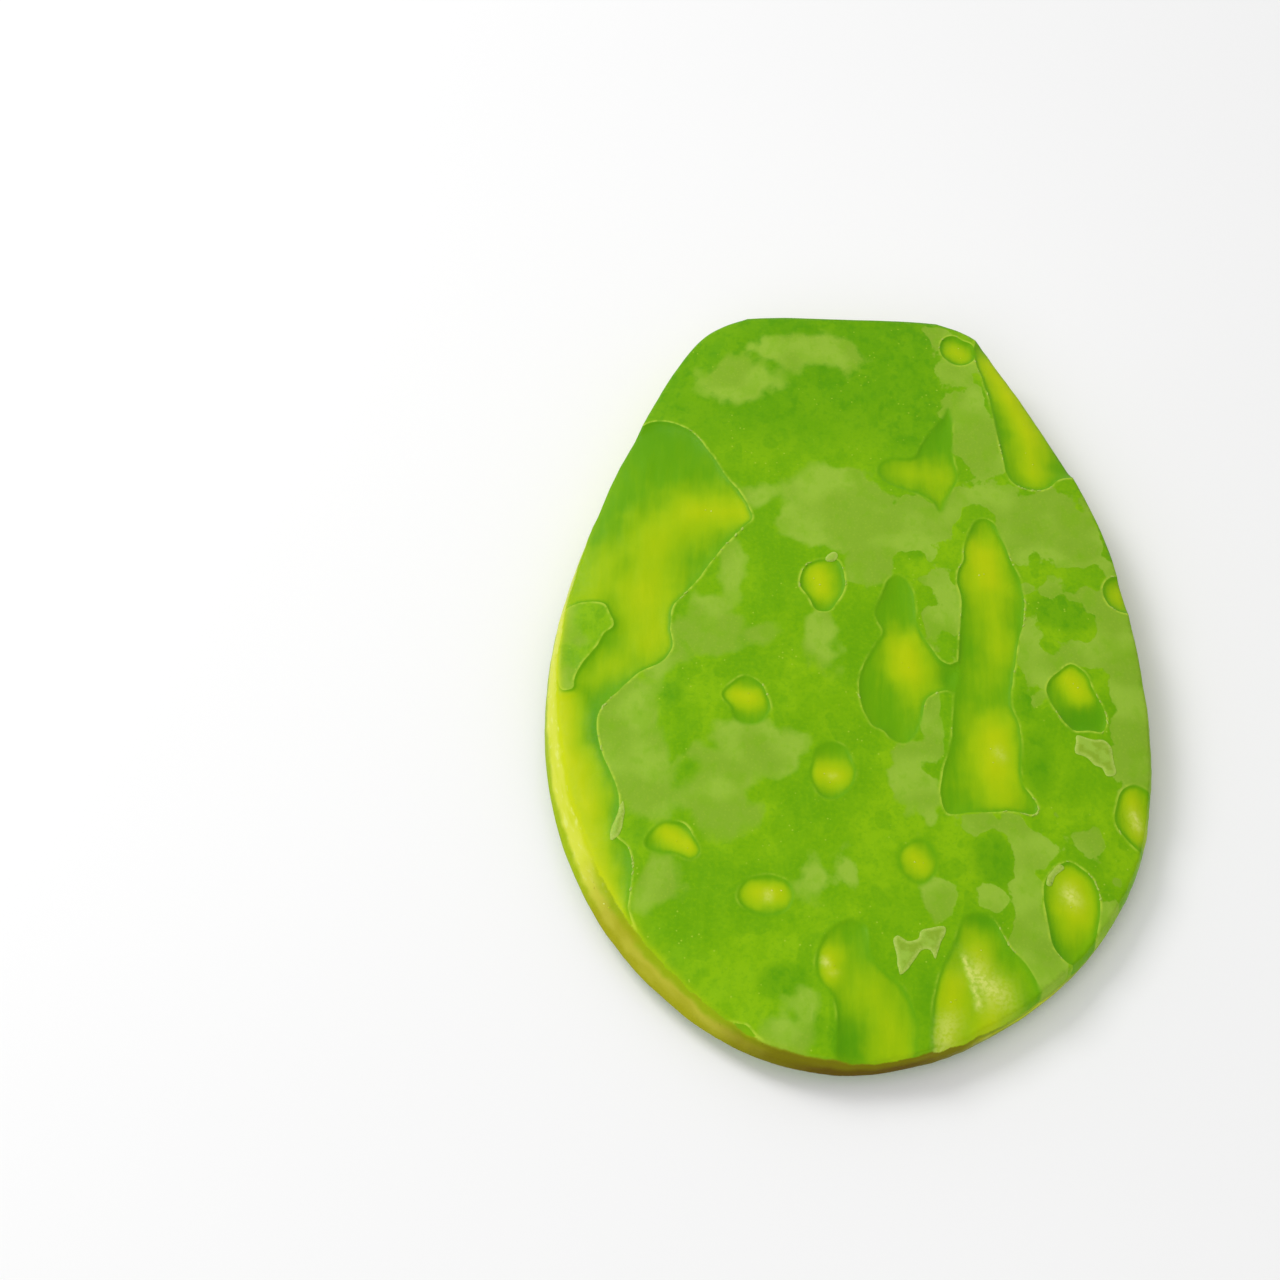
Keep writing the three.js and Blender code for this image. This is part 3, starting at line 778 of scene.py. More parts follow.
class PadShape:
    """The pad's loops and faces, worked out once and read by every piece."""

    def __init__(self, sizes):
        self.sizes = sizes
        rim = smooth_loop(OUTLINE, RIM_SAMPLE)
        x, y = rim.T
        rim = rim + outward(rim) * uneven(x, y, RIM_WAVER)[:, None]
        inset = rim_cut(np.arctan2(rim[:, 1], rim[:, 0])) * (1 + uneven(x, y, RIM_CUT_WAVER))
        self.rim = rim
        self.rim_gap = nearest_gap(rim - outward(rim) * inset[:, None])
        self.upper_work = KnifeWork(UPPER_CUTS.values(), UPPER_CUT_SEED)
        self.under_work = KnifeWork(under_cuts(rim), UNDER_CUT_SEED)
        self.side_steps = round(SIDE_SHARE * travelled(rim)[-1] / RIM_STEP)
        self.stem_steps = round(STEM_WIDTH / RIM_STEP)
        self.top = self.loop(inset, TOP_HEIGHT)
        self.middle = self.loop(0 * inset, MIDDLE_HEIGHT)
        self.under = self.loop(0 * inset + UNDER_CUT, UNDER_HEIGHT)

    def loop(self, inset, height):
        return edge_loop(self.rim, inset, height, self.side_steps, self.stem_steps)

    def knife_drop(self, inside, floor, glow, crisp):
        """How far the knife's work lies below the uncut skin, with its mounds of firm flesh."""
        sizes = self.sizes
        step = sizes.skin / MM * crisp * ease(inside / STEP_WIDTH)
        return step + floor * sizes.hollow * (1 - FLOOR_RISE * glow) - sizes.mound / MM * glow

    def upper(self, points):
        """Heights and surface values of the finished upper face at the points."""
        x, y = points.T
        inside, floor, glow, crisp = self.upper_work.measure(points)
        edge = self.rim_gap(points)
        in_cut = ease(inside / RELIEF_WIDTH)
        height = upper_height(x, y) - SHOULDER * np.exp(-edge / SHOULDER_WIDTH)
        height += uneven(x, y, SKIN_RELIEF) * (1 - RELIEF_LOSS * in_cut) + uneven(x, y, CUT_RELIEF) * in_cut
        height += self.sizes.lip / MM * crisp * np.exp(-(((inside - LIP_PLACE) / LIP_WIDTH) ** 2))
        height -= self.knife_drop(inside, floor, glow, crisp)
        height -= RUN_OUT * ease(inside / RUN_OUT_START) * np.exp(-edge / RUN_OUT_WIDTH)
        over, beside = crease_sides(points)
        step = ease(over / CREASE_WIDTH + 0.5)
        height += CREASE_STEP * beside * step * np.exp(-np.maximum(over, 0) / CREASE_RUN)
        # Painted shadow: darker skin towards the stem end.
        painted_stem_shade = ease((y - SHADE_FROM_Y[0]) / SHADE_FROM_Y[1])
        painted_stem_shade *= ease((SHADE_FROM_X[0] - x) / SHADE_FROM_X[1])
        soft_side = (SOFT_FROM_X[0] - x) / SOFT_FROM_X[1]
        return height, {
            "cut": inside,
            "glow": glow,
            "crisp": crisp,
            "dry": np.minimum(patch_depth(points, BLOOM_AND_SHEEN), -patch_depth(points, WET_SPOTS)),
            "soft": SOFT_LEAST + SOFT_MORE * ease(soft_side + uneven(x, y, SOFT_WAVER)),
            # deep: the darkest wet skin in spots, and the painted shadow towards the stem end.
            "deep": np.maximum(ease(patch_depth(points, DEEP_AND_SHADED_SPOTS) / DEEP_WIDTH + DEEP_SHIFT), painted_stem_shade),
            "pale": stroke_glow(points, PALE_FLESH) * (1 - CREASE_PALE * beside * (1 - step)),
            "ridge": np.exp(-edge / RIDGE_HIGHLIGHT_WIDTH) * near_direction(np.arctan2(y, x), *RIDGE_HIGHLIGHT),
        # A painted highlight along the rim's upper edge, on the left.
        }

    def lower(self, points):
        """Heights and surface values of the finished underside at the points."""
        x, y = points.T
        inside, floor, glow, crisp = self.under_work.measure(points)
        height = under_height(x, y)
        relief = UNDER_ROUGHNESS * (1 + uneven(x, y, UNDER_RELIEF))
        height += relief * ease(height / UNDER_ROUGH_FROM)
        height += self.knife_drop(inside, floor, glow, crisp)
        return height, {
            "cut": inside,
            "glow": glow,
            "crisp": crisp,
            "dry": uneven(x, y, UNDER_DRY),
            "soft": UNDER_SOFTNESS + uneven(x, y, UNDER_SOFT),
            "deep": UNDER_DEEPNESS + uneven(x, y, UNDER_DEEP),
            "pale": 0 * glow,
            "ridge": 0 * glow,
        }

    def face(self, loop, step, seed, work, surface):
        """A face's points, its triangles and its surface values."""
        flat, triangles = fill_face(loop, step / MM, seed, work)
        height, values = surface(flat)
        return onto_stem_cut(np.c_[flat, height], self), triangles, values


def wall_rings(shape, top, under):
    """Rings of points down the trimmed rim and the stem end, between the two faces' edges."""
    line = shape.middle
    x, y = line.T
    height = under[:, 2] + (top[:, 2] - under[:, 2]) * (RIM_LINE + uneven(x, y, RIM_LINE_WAVER))
    middle = np.c_[line, height]
    facing = outward(line)
    index = np.arange(len(line))
    on_side = (index > 0) & (index < shape.side_steps)
    fade = ease(np.minimum(index, np.abs(shape.side_steps - index)) / CORNER_STEPS) * on_side
    rings = []
    halves = ((top, middle, WALL_UPPER, UPPER_BULGE), (middle, under, WALL_LOWER, LOWER_BULGE))
    for start, end, shares, bulge in halves:
        for share in shares:
            ring = start + (end - start) * share
            swell = bulge * math.sin(math.pi * share) * (1 + uneven(x, y, WALL_SWELL))
            fibres = uneven(x + y, ring[:, 2], RISING_FIBRES) + uneven(x - y, ring[:, 2], FALLING_FIBRES)
            ring[:, :2] += facing * ((swell + fibres) * fade)[:, None]
            rings.append(ring)
        if end is middle:
            rings.append(middle.copy())
    rings = [onto_stem_cut(ring, shape) for ring in rings]
    shrink_stem_end(shape, rings)
    return rings


def shrink_stem_end(shape, rings):
    """Lets the flesh of the stem cut sink a little behind its skin, with fine ridges across it."""
    stem = np.arange(shape.side_steps + 1, len(rings[0]))
    from_corner = np.minimum(stem - shape.side_steps, len(rings[0]) - stem) * RIM_STEP
    for number, ring in enumerate(rings):
        from_face = min(number + 1, len(rings) - number) * STEM_RING_GAP
        depth = STEM_SINK * ease(from_corner / STEM_SINK_ACROSS) * ease(from_face / STEM_SINK_DOWN)
        ridges = uneven(ring[stem, 0] / STEM_RIDGE_LENGTH, ring[stem, 2], STEM_RIDGES)
        ring[stem, 1] -= depth + ridges * ease(from_corner / STEM_RIDGE_MARGIN)


def ring_values(shape, rings):
    """Surface values of the wall, one row for each of its rings."""
    steps = [np.linalg.norm(b - a, axis=1) for a, b in zip(rings, rings[1:])]
    below = np.vstack([0 * steps[0][None], np.cumsum(steps, axis=0)])
    angle = np.arctan2(rings[0][:, 1], rings[0][:, 0])
    number = np.arange(len(angle))
    stem = (number > shape.side_steps) * 1.0
    degrees, spread, extra = SKIN_WRAP
    wrap = SKIN_EDGE + extra * near_direction(angle, degrees, spread) * (1 - stem)
    zones = {name: near_direction(angle, *zone) for name, zone in RIM_ZONES.items()}
    values = {"below": below, "above": below[-1] - below, "streak": uneven(number * RIM_STEP, below, STREAKS)}
    for name, row in {**zones, "stem": stem, "wrap": wrap}.items():
        values[name] = np.tile(row, (len(rings), 1))
    return values


def new_mesh(name, points, edges=(), faces=()):
    """A mesh from points in millimetres."""
    mesh = bpy.data.meshes.new(name)
    mesh.from_pydata((np.asarray(points) * MM).tolist(), edges, faces)
    return mesh


def add_piece(name, mesh):
    """A new object in the scene, smooth-shaded."""
    mesh.shade_smooth()
    piece = bpy.data.objects.new(name, mesh)
    bpy.context.scene.collection.objects.link(piece)
    return piece


def set_values(mesh, values):
    """Keeps each of the surface values in the mesh, one number a point."""
    for name, numbers in values.items():
        made = mesh.attributes.new(name, "FLOAT", "POINT")
        made.data.foreach_set("value", np.ascontiguousarray(numbers, np.float32))


def ring_faces(first, second, count):
    """Quads that face out between an anticlockwise ring and a lower one, from their first points on."""
    i = np.arange(count)
    j = (i + 1) % count
    return np.stack([first + i, second + i, second + j, first + j], axis=1).tolist()


def build_pad(shape):
    """The whole pad as one closed mesh: upper face, wall and underside. The wall has the second material."""
    upper, upper_faces, upper_values = shape.face(
        shape.top, shape.sizes.upper_step, UPPER_GRID_SEED, shape.upper_work, shape.upper
    )
    under, under_faces, under_values = shape.face(
        shape.under, shape.sizes.under_step, UNDER_GRID_SEED, shape.under_work, shape.lower
    )
    count = len(shape.top)
    rings = wall_rings(shape, upper[:count], under[:count])
    points = np.vstack([upper, *rings, under])

    starts = [0, *range(len(upper), len(points) - len(under) + 1, count)]
    wall_faces = [face for ends in zip(starts, starts[1:]) for face in ring_faces(*ends, count)]
    faces = upper_faces.tolist() + wall_faces + (under_faces[:, ::-1] + starts[-1]).tolist()
    is_wall = np.repeat([0, 1, 0], [len(upper_faces), len(wall_faces), len(under_faces)])

    mesh = new_mesh("cactus_pad", points, faces=faces)
    set_values(mesh, pad_values(shape, upper, rings, under, upper_values, under_values))
    mesh.polygons.foreach_set("material_index", is_wall.astype(np.int32))
    return add_piece("cactus_pad", mesh)


def pad_values(shape, upper, rings, under, upper_values, under_values):
    """All surface values of the pad, in the order of its points. The skin's run on down the wall."""
    count = len(rings[0])
    walls = ring_values(shape, [upper[:count], *rings, under[:count]])
    values = {}
    for name, numbers in upper_values.items():
        values[name] = np.r_[numbers, np.tile(numbers[:count], len(rings)), under_values[name]]
    for name, numbers in walls.items():
        over, below = np.zeros(len(upper)), np.zeros(len(under))
        over[:count], below[:count] = numbers[0], numbers[-1]
        values[name] = np.r_[over, numbers[1:-1].ravel(), below]
    return values


# ---- Scraps, flakes and beads ----

# Scraps of thin skin that the knife left lying: (outline, lift at the middle).
SCRAPS = {
    "tip scrap": ([(8.7, -67.5), (9.5, -66.6), (11.5, -68), (13.4, -67.3), (14, -65.6), (16, -64.8),
                   (18.5, -64.5), (18.3, -66.5), (17.5, -69), (16.5, -71.5), (15.4, -69.6), (14, -69.6),
                   (12.5, -71.5), (11, -74), (9.8, -75), (9.2, -71)], 0.12),
    "right scrap": ([(46.2, -19.6), (48.4, -20.2), (49.6, -20.5), (51.5, -20.4), (52.8, -22), (53.5, -25),
                     (53.2, -28), (51.8, -28.5), (51, -26.8), (49.5, -26), (48, -24.5), (45.8, -23.7),
                     (46, -21.5)], 0.14),
    "left sliver": ([(-43.6, -37.6), (-43, -40), (-43.5, -42.6), (-44.3, -45.4), (-45.6, -46.2),
                     (-45.8, -44.4), (-45.1, -41.8), (-44.4, -39.4)], 0.16),
    "upper flap": ([(-3.6, 21.5), (-3.2, 22.6), (-1.9, 23.6), (-1.2, 23), (-1.3, 21.8), (-2.4, 21.2)], 0.25),
    "lower right curl": ([(38.4, -53.6), (39.2, -51), (41.4, -48.9), (42.2, -49.6), (40.4, -51.6),
                          (39.4, -53.8)], 0.3),
}
SCRAP_THICKNESS = 0.1
SCRAP_SINK = 0.05
SCRAP_STEP = 0.45
SCRAP_WAVER = 0.22
SCRAP_EDGE = 0.6  # share of its thickness that a scrap has along its edge, besides what it gains inwards
SCRAP_EDGE_WIDTH = 0.4
CURL_LEAST = 0.55
CURL_VARIATION = 0.6
CURL_SIZE = 2.3
CURL_START = -0.05  # distance inside the edge where a scrap begins to lift
CURL_WIDTH = 0.5  # distance over which it lifts
SHARP_ANGLE = math.radians(50)


def build_scraps(shape):
    """Thin closed sheets that lie on the upper face and curl up a little."""
    points, faces, edges = [], [], []
    for index, (outline, lift) in enumerate(SCRAPS.values()):
        loop = knife_loop(outline, SCRAP_LOOP_SEED + 2 * index, SCRAP_STEP, SCRAP_WAVER)
        flat, triangles = fill_face(loop, SCRAP_STEP, SCRAP_GRID_SEED + index)
        edge = depth_inside(flat, loop)
        face = shape.upper(flat)[0]
        waver = CURL_LEAST + CURL_VARIATION * lumps(*flat.T, CURL_SIZE, SCRAP_CURL_SEED + index)
        curl = np.maximum(lift * waver * ease((edge - CURL_START) / CURL_WIDTH), 0)
        over = face + SCRAP_THICKNESS * (SCRAP_EDGE + ease(edge / SCRAP_EDGE_WIDTH)) + curl
        base = sum(len(p) for p in points)
        faces += (triangles + base).tolist()
        faces += (triangles[:, ::-1] + base + len(flat)).tolist()
        faces += ring_faces(base, base + len(flat), len(loop))
        points += [np.c_[flat, over], np.c_[flat, face - SCRAP_SINK]]
        edges += [edge, edge]
    mesh = new_mesh("skin_scraps", np.vstack(points), faces=faces)
    set_values(mesh, {"edge": np.hstack(edges)})
    scraps = add_piece("skin_scraps", mesh)
    mesh.set_sharp_from_angle(angle=SHARP_ANGLE)
    return scraps


FLAKE_LINE = -0.12  # the flakes' distance inside a cut's outline
FLAKE_SLACK = 0.15
FLAKE_LEAST_CRISP = 0.7
FLAKE_RIM_GAP = 1
FLAKE_CLUSTERS = (90.0, 0.46, 0.62)  # noise scale, and the noise where a cluster begins and is full
FLAKE_TURNS = ((-0.2, -0.5, -0.7), (0.2, 0.5, 0.7))
FLAKE_SCALES = ((0.5, 0.6, 0.4), (1.3, 1.3, 1.5))


def knife_edge_lines(shape):
    """The upper rims of the knife cuts as a mesh of edges only, for flakes to stand on."""
    rows = []
    for loop in shape.upper_work.loops:
        row = loop - outward(loop) * FLAKE_LINE
        inside, _, _, crisp = shape.upper_work.measure(row)
        kept = (np.abs(inside - FLAKE_LINE) < FLAKE_SLACK) & (crisp > FLAKE_LEAST_CRISP)
        kept &= points_inside(row, shape.top) & (shape.rim_gap(row) > FLAKE_RIM_GAP)
        rows.append((row, kept))
    points, pairs = chained(rows)
    return new_mesh("knife_edges", np.c_[points, shape.upper(points)[0]], pairs)


HEART_LEAST = 0.8  # strength of the weakest heart that shows its fibres
HEART_BEADS = 2
HEART_SPREAD = 0.9
HEART_STRETCH = (0.1, 0.9)  # part of a heart's line that holds its beads
HEART_GLOW = 0.4  # least glow where a bead stands
HEART_RIM_GAP = 2
BUNDLE_ROWS = ((0.62, 26), (0.3, 12))  # ovals in the stem cut: (share of the half size, number of beads)
BUNDLE_SHAKE = (0.08, 0.25)
STEM_MIDDLE = (0, 8)
STEM_HALF = (28, 4.6)
STEM_BEAD_SINK = 0.4
BEAD_SCALES = ((0.5, 0.5, 0.4), (1.4, 1.4, 0.9))


def bead_places(shape):
    """Points for the ends of the pad's fibres: a few in each heart, and two ovals of them in the stem cut."""
    random = np.random.default_rng(BEAD_SEED)
    flat = []
    for cut in UPPER_CUTS.values():
        for *ends, _, strength in cut.hearts:
            if strength >= HEART_LEAST:
                start, end = np.reshape(ends, (2, 2))
                share = random.uniform(*HEART_STRETCH, (HEART_BEADS, 1))
                flat.append(start + share * (end - start) + random.normal(0, HEART_SPREAD, (HEART_BEADS, 2)))
    flat = np.vstack(flat)
    height, values = shape.upper(flat)
    kept = (values["glow"] > HEART_GLOW) & (shape.rim_gap(flat) > HEART_RIM_GAP)
    places = [np.c_[flat, height][kept]]
    for share, count in BUNDLE_ROWS:
        turns = np.linspace(0, 2 * math.pi, count, endpoint=False) + random.normal(0, BUNDLE_SHAKE[0], count)
        x = STEM_MIDDLE[0] + STEM_HALF[0] * share * np.cos(turns)
        z = STEM_MIDDLE[1] + STEM_HALF[1] * share * np.sin(turns) + random.normal(0, BUNDLE_SHAKE[1], count)
        places.append(np.c_[x, STEM_CUT_Y - z * STEM_CUT_SLOPE - STEM_BEAD_SINK, z])
    return new_mesh("bead_places", np.vstack(places))


BALL_DETAIL = 2  # of the balls that flakes and beads are made from


class NodeTree:
    """A node tree being built."""

    def add(self, kind, inputs=None, **settings):
        """A new node with some settings. Inputs, by name or number, are values or sockets to link."""
        node = self.tree.nodes.new(kind)
        for name, value in settings.items():
            setattr(node, name, value)
        for key, value in (inputs or {}).items():
            self.feed(node.inputs[key], value)
        return node

    def feed(self, socket, value):
        """Links a socket to another, or sets it to a number, colour or other value."""
        if isinstance(value, bpy.types.NodeSocket):
            self.tree.links.new(value, socket)
        elif socket.type == "RGBA":
            socket.default_value = (*value[:3], 1)
        else:
            socket.default_value = value

    def maths(self, operation, *numbers):
        return self.add("ShaderNodeMath", dict(enumerate(numbers)), operation=operation).outputs[0]


class Scatter(NodeTree):
    """A Geometry Nodes tree that scatters small pieces, with named inputs and the values they are given."""

    def __init__(self, name):
        self.tree = bpy.data.node_groups.new(name, "GeometryNodeTree")
        for in_out in ("INPUT", "OUTPUT"):
            self.tree.interface.new_socket("Geometry", in_out=in_out, socket_type="NodeSocketGeometry")
        self.source = self.tree.nodes.new("NodeGroupInput")
        self.given = {}

    def input(self, name, kind, value):
        """A named input, whose value is set on the modifier by the socket's identifier."""
        item = self.tree.interface.new_socket(name, in_out="INPUT", socket_type="NodeSocket" + kind)
        self.given[item.identifier] = value
        return self.source.outputs[name]

    def random(self, kind, limits, seed, stream):
        """A random value for each point, between two limits, from its own stream of the seed."""
        low, high, result = {"FLOAT": (2, 3, 1), "FLOAT_VECTOR": (0, 1, 0)}[kind]
        inputs = {
            low: limits[0], high: limits[1],
            "ID": self.add("GeometryNodeInputIndex").outputs[0],
            "Seed": self.maths("ADD", seed, stream),
        }
        return self.add("FunctionNodeRandomValue", inputs, data_type=kind).outputs[result]

    def end(self, instances, material):
        """Realize Instances and Set Material, which every tree ends in."""
        real = self.add("GeometryNodeRealizeInstances", {"Geometry": instances})
        painted = self.add("GeometryNodeSetMaterial", {"Geometry": real.outputs[0], "Material": material})
        self.add("NodeGroupOutput", {0: painted.outputs[0]})

    def bake(self, mesh, name):
        """Runs the tree on the mesh and gives the result as a plain mesh object."""
        carrier = add_piece(name + "_source", mesh)
        modifier = carrier.modifiers.new("Nodes", "NODES")
        modifier.node_group = self.tree
        for identifier, value in self.given.items():
            modifier[identifier] = value
        graph = bpy.context.evaluated_depsgraph_get()
        made = bpy.data.meshes.new_from_object(carrier.evaluated_get(graph))
        made.name = name
        made.materials.clear()
        bpy.data.objects.remove(carrier)
        return add_piece(name, made)


def flake_tree(trim, material):
    """Small curled flakes of skin, scattered in clusters along the knife's edges."""
    g = Scatter("Knife flakes")
    spacing = g.input("Spacing", "Float", trim.flake_spacing)
    share = g.input("Share", "Float", trim.flake_share)
    size = g.input("Size", "Vector", (trim.flake_width, trim.flake_thickness, trim.flake_length))
    seed = g.input("Seed", "Int", trim.seed)
    finish = g.input("Finish", "Material", material)
    scale, bare, full = FLAKE_CLUSTERS
    curve = g.add("GeometryNodeMeshToCurve", {"Mesh": g.source.outputs["Geometry"]})
    upright = g.add("GeometryNodeSetCurveNormal", {"Curve": curve.outputs[0]}, mode="Z_UP")
    spots = {"Curve": upright.outputs[0], "Length": spacing}
    places = g.add("GeometryNodeCurveToPoints", spots, mode="LENGTH")
    noise = g.add("ShaderNodeTexNoise", {"Scale": scale, "Detail": 1.0})
    clusters = g.add("ShaderNodeMapRange", {"Value": noise.outputs[0], "From Min": bare, "From Max": full})
    limit = g.maths("MULTIPLY", clusters.outputs[0], share)
    ball = g.add("GeometryNodeMeshIcoSphere", {"Radius": 0.5, "Subdivisions": BALL_DETAIL})
    flake = g.add("GeometryNodeTransform", {"Geometry": ball.outputs[0], "Scale": size})
    turn = {
        "Rotation": places.outputs["Rotation"],
        "Rotate By": g.random("FLOAT_VECTOR", FLAKE_TURNS, seed, 2),
    }
    spread = g.add("GeometryNodeInstanceOnPoints", {
        "Points": places.outputs["Points"],
        "Instance": flake.outputs[0],
        "Selection": g.maths("LESS_THAN", g.random("FLOAT", (0, 1), seed, 1), limit),
        "Rotation": g.add("FunctionNodeRotateRotation", turn, rotation_space="LOCAL").outputs[0],
        "Scale": g.random("FLOAT_VECTOR", FLAKE_SCALES, seed, 3),
    })
    g.end(spread.outputs[0], finish)
    return g


def bead_tree(trim, material):
    """Low beads where the ends of the fibres show in the cut flesh."""
    g = Scatter("Fibre ends")
    radius = g.input("Radius", "Float", trim.bead_radius)
    seed = g.input("Seed", "Int", trim.seed)
    finish = g.input("Finish", "Material", material)
    ball = g.add("GeometryNodeMeshIcoSphere", {"Radius": radius, "Subdivisions": BALL_DETAIL})
    spread = g.add("GeometryNodeInstanceOnPoints", {
        "Points": g.source.outputs["Geometry"],
        "Instance": ball.outputs[0],
        "Scale": g.random("FLOAT_VECTOR", BEAD_SCALES, seed, 4),
    })
    g.end(spread.outputs[0], finish)
    return g


# ---- Finishes ----

NOISE_SHIFT = (17.3, 5.1, 0)
SCATTER_DEPTH = (1, 1.1, 0.35)
SCATTER_SCALE = 0.9 * MM


def shade(*rgb):
    """A colour given as 0 to 255, in the linear values that Blender's colour settings hold."""
    parts = [value / 255 for value in rgb]
    return tuple(c / 12.92 if c <= 0.04045 else ((c + 0.055) / 1.055) ** 2.4 for c in parts)


class Finish(NodeTree):
    """A material being mixed, node by node. Lengths in its patterns are in millimetres."""

    def __init__(self, name):
        self.material = bpy.data.materials.new(name)
        self.material.use_nodes = True
        self.tree = self.material.node_tree
        self.tree.nodes.clear()
        self.place = self.vector("MULTIPLY", self.add("ShaderNodeTexCoord").outputs["Object"], (1 / MM,) * 3)
        self.count = 0

    def vector(self, operation, first, second):
        return self.add("ShaderNodeVectorMath", {0: first, 1: second}, operation=operation).outputs["Vector"]

    def value(self, name):
        """One of the piece's own surface values."""
        return self.add("ShaderNodeAttribute", attribute_name=name).outputs["Fac"]

    def values(self, names):
        return (self.value(name) for name in names.split())

    def plus(self, *numbers):
        return functools.reduce(functools.partial(self.maths, "ADD"), numbers)

    def times(self, first, second):
        return self.maths("MULTIPLY", first, second)

    def span(self, value, low, high, first=0.0, last=1.0):
        """value from low to high, eased into first to last."""
        inputs = {"Value": value, "From Min": low, "From Max": high, "To Min": first, "To Max": last}
        return self.add("ShaderNodeMapRange", inputs, interpolation_type="SMOOTHSTEP").outputs[0]

    def noise(self, size, stretch=(1, 1, 1), detail=3.0, roughness=0.5):
        """Noise from 0 to 1 in a new pattern, with lumps about size millimetres across, times stretch."""
        self.count += 1
        scaled = self.vector("MULTIPLY", self.place, tuple(1 / (size * s) for s in stretch))
        place = self.vector("ADD", scaled, tuple(shift * self.count for shift in NOISE_SHIFT))
        inputs = {"Vector": place, "Scale": 1.0, "Detail": detail, "Roughness": roughness}
        return self.add("ShaderNodeTexNoise", inputs).outputs[0]

    def away(self, value, scale):
        """How far a noise is from its middle, times scale."""
        return self.times(self.maths("SUBTRACT", value, 0.5), scale)

    def across(self, value, width):
        """0 to 1 over a band of the given width about value 0."""
        return self.span(self.maths("DIVIDE", value, width), -0.5, 0.5)

    def dots(self, size):
        """Distance from the nearest of many scattered points about size millimetres apart, in sizes."""
        return self.add("ShaderNodeTexVoronoi", {"Vector": self.place, "Scale": 1 / size}).outputs["Distance"]

    def mix(self, share, first, second):
        """A colour between two others."""
        return self.add("ShaderNodeMix", {0: share, 6: first, 7: second}, data_type="RGBA").outputs[2]

    def blend(self, share, first, second):
        """A number between two others."""
        return self.add("ShaderNodeMix", {0: share, 2: first, 3: second}, data_type="FLOAT").outputs[0]

    def coats(self, colour, *coats):
        """A colour with others laid over it, each given with how much of it shows or with what span takes."""
        for over, share, *limits in coats:
            colour = self.mix(self.span(share, *limits) if limits else share, colour, over)
        return colour

    def relief(self, height):
        """A normal from a height in millimetres."""
        return self.add("ShaderNodeBump", {"Height": height, "Distance": MM}).outputs[0]

    def shader(self, colour, roughness, normal, specular, subsurface):
        shader = self.add("ShaderNodeBsdfPrincipled", {
            "Base Color": colour, "Roughness": roughness, "Normal": normal,
            "Specular IOR Level": specular, "Subsurface Weight": subsurface,
            "Subsurface Radius": SCATTER_DEPTH, "Subsurface Scale": SCATTER_SCALE,
        })
        self.add("ShaderNodeOutputMaterial", {0: shader.outputs[0]})
        return self.material


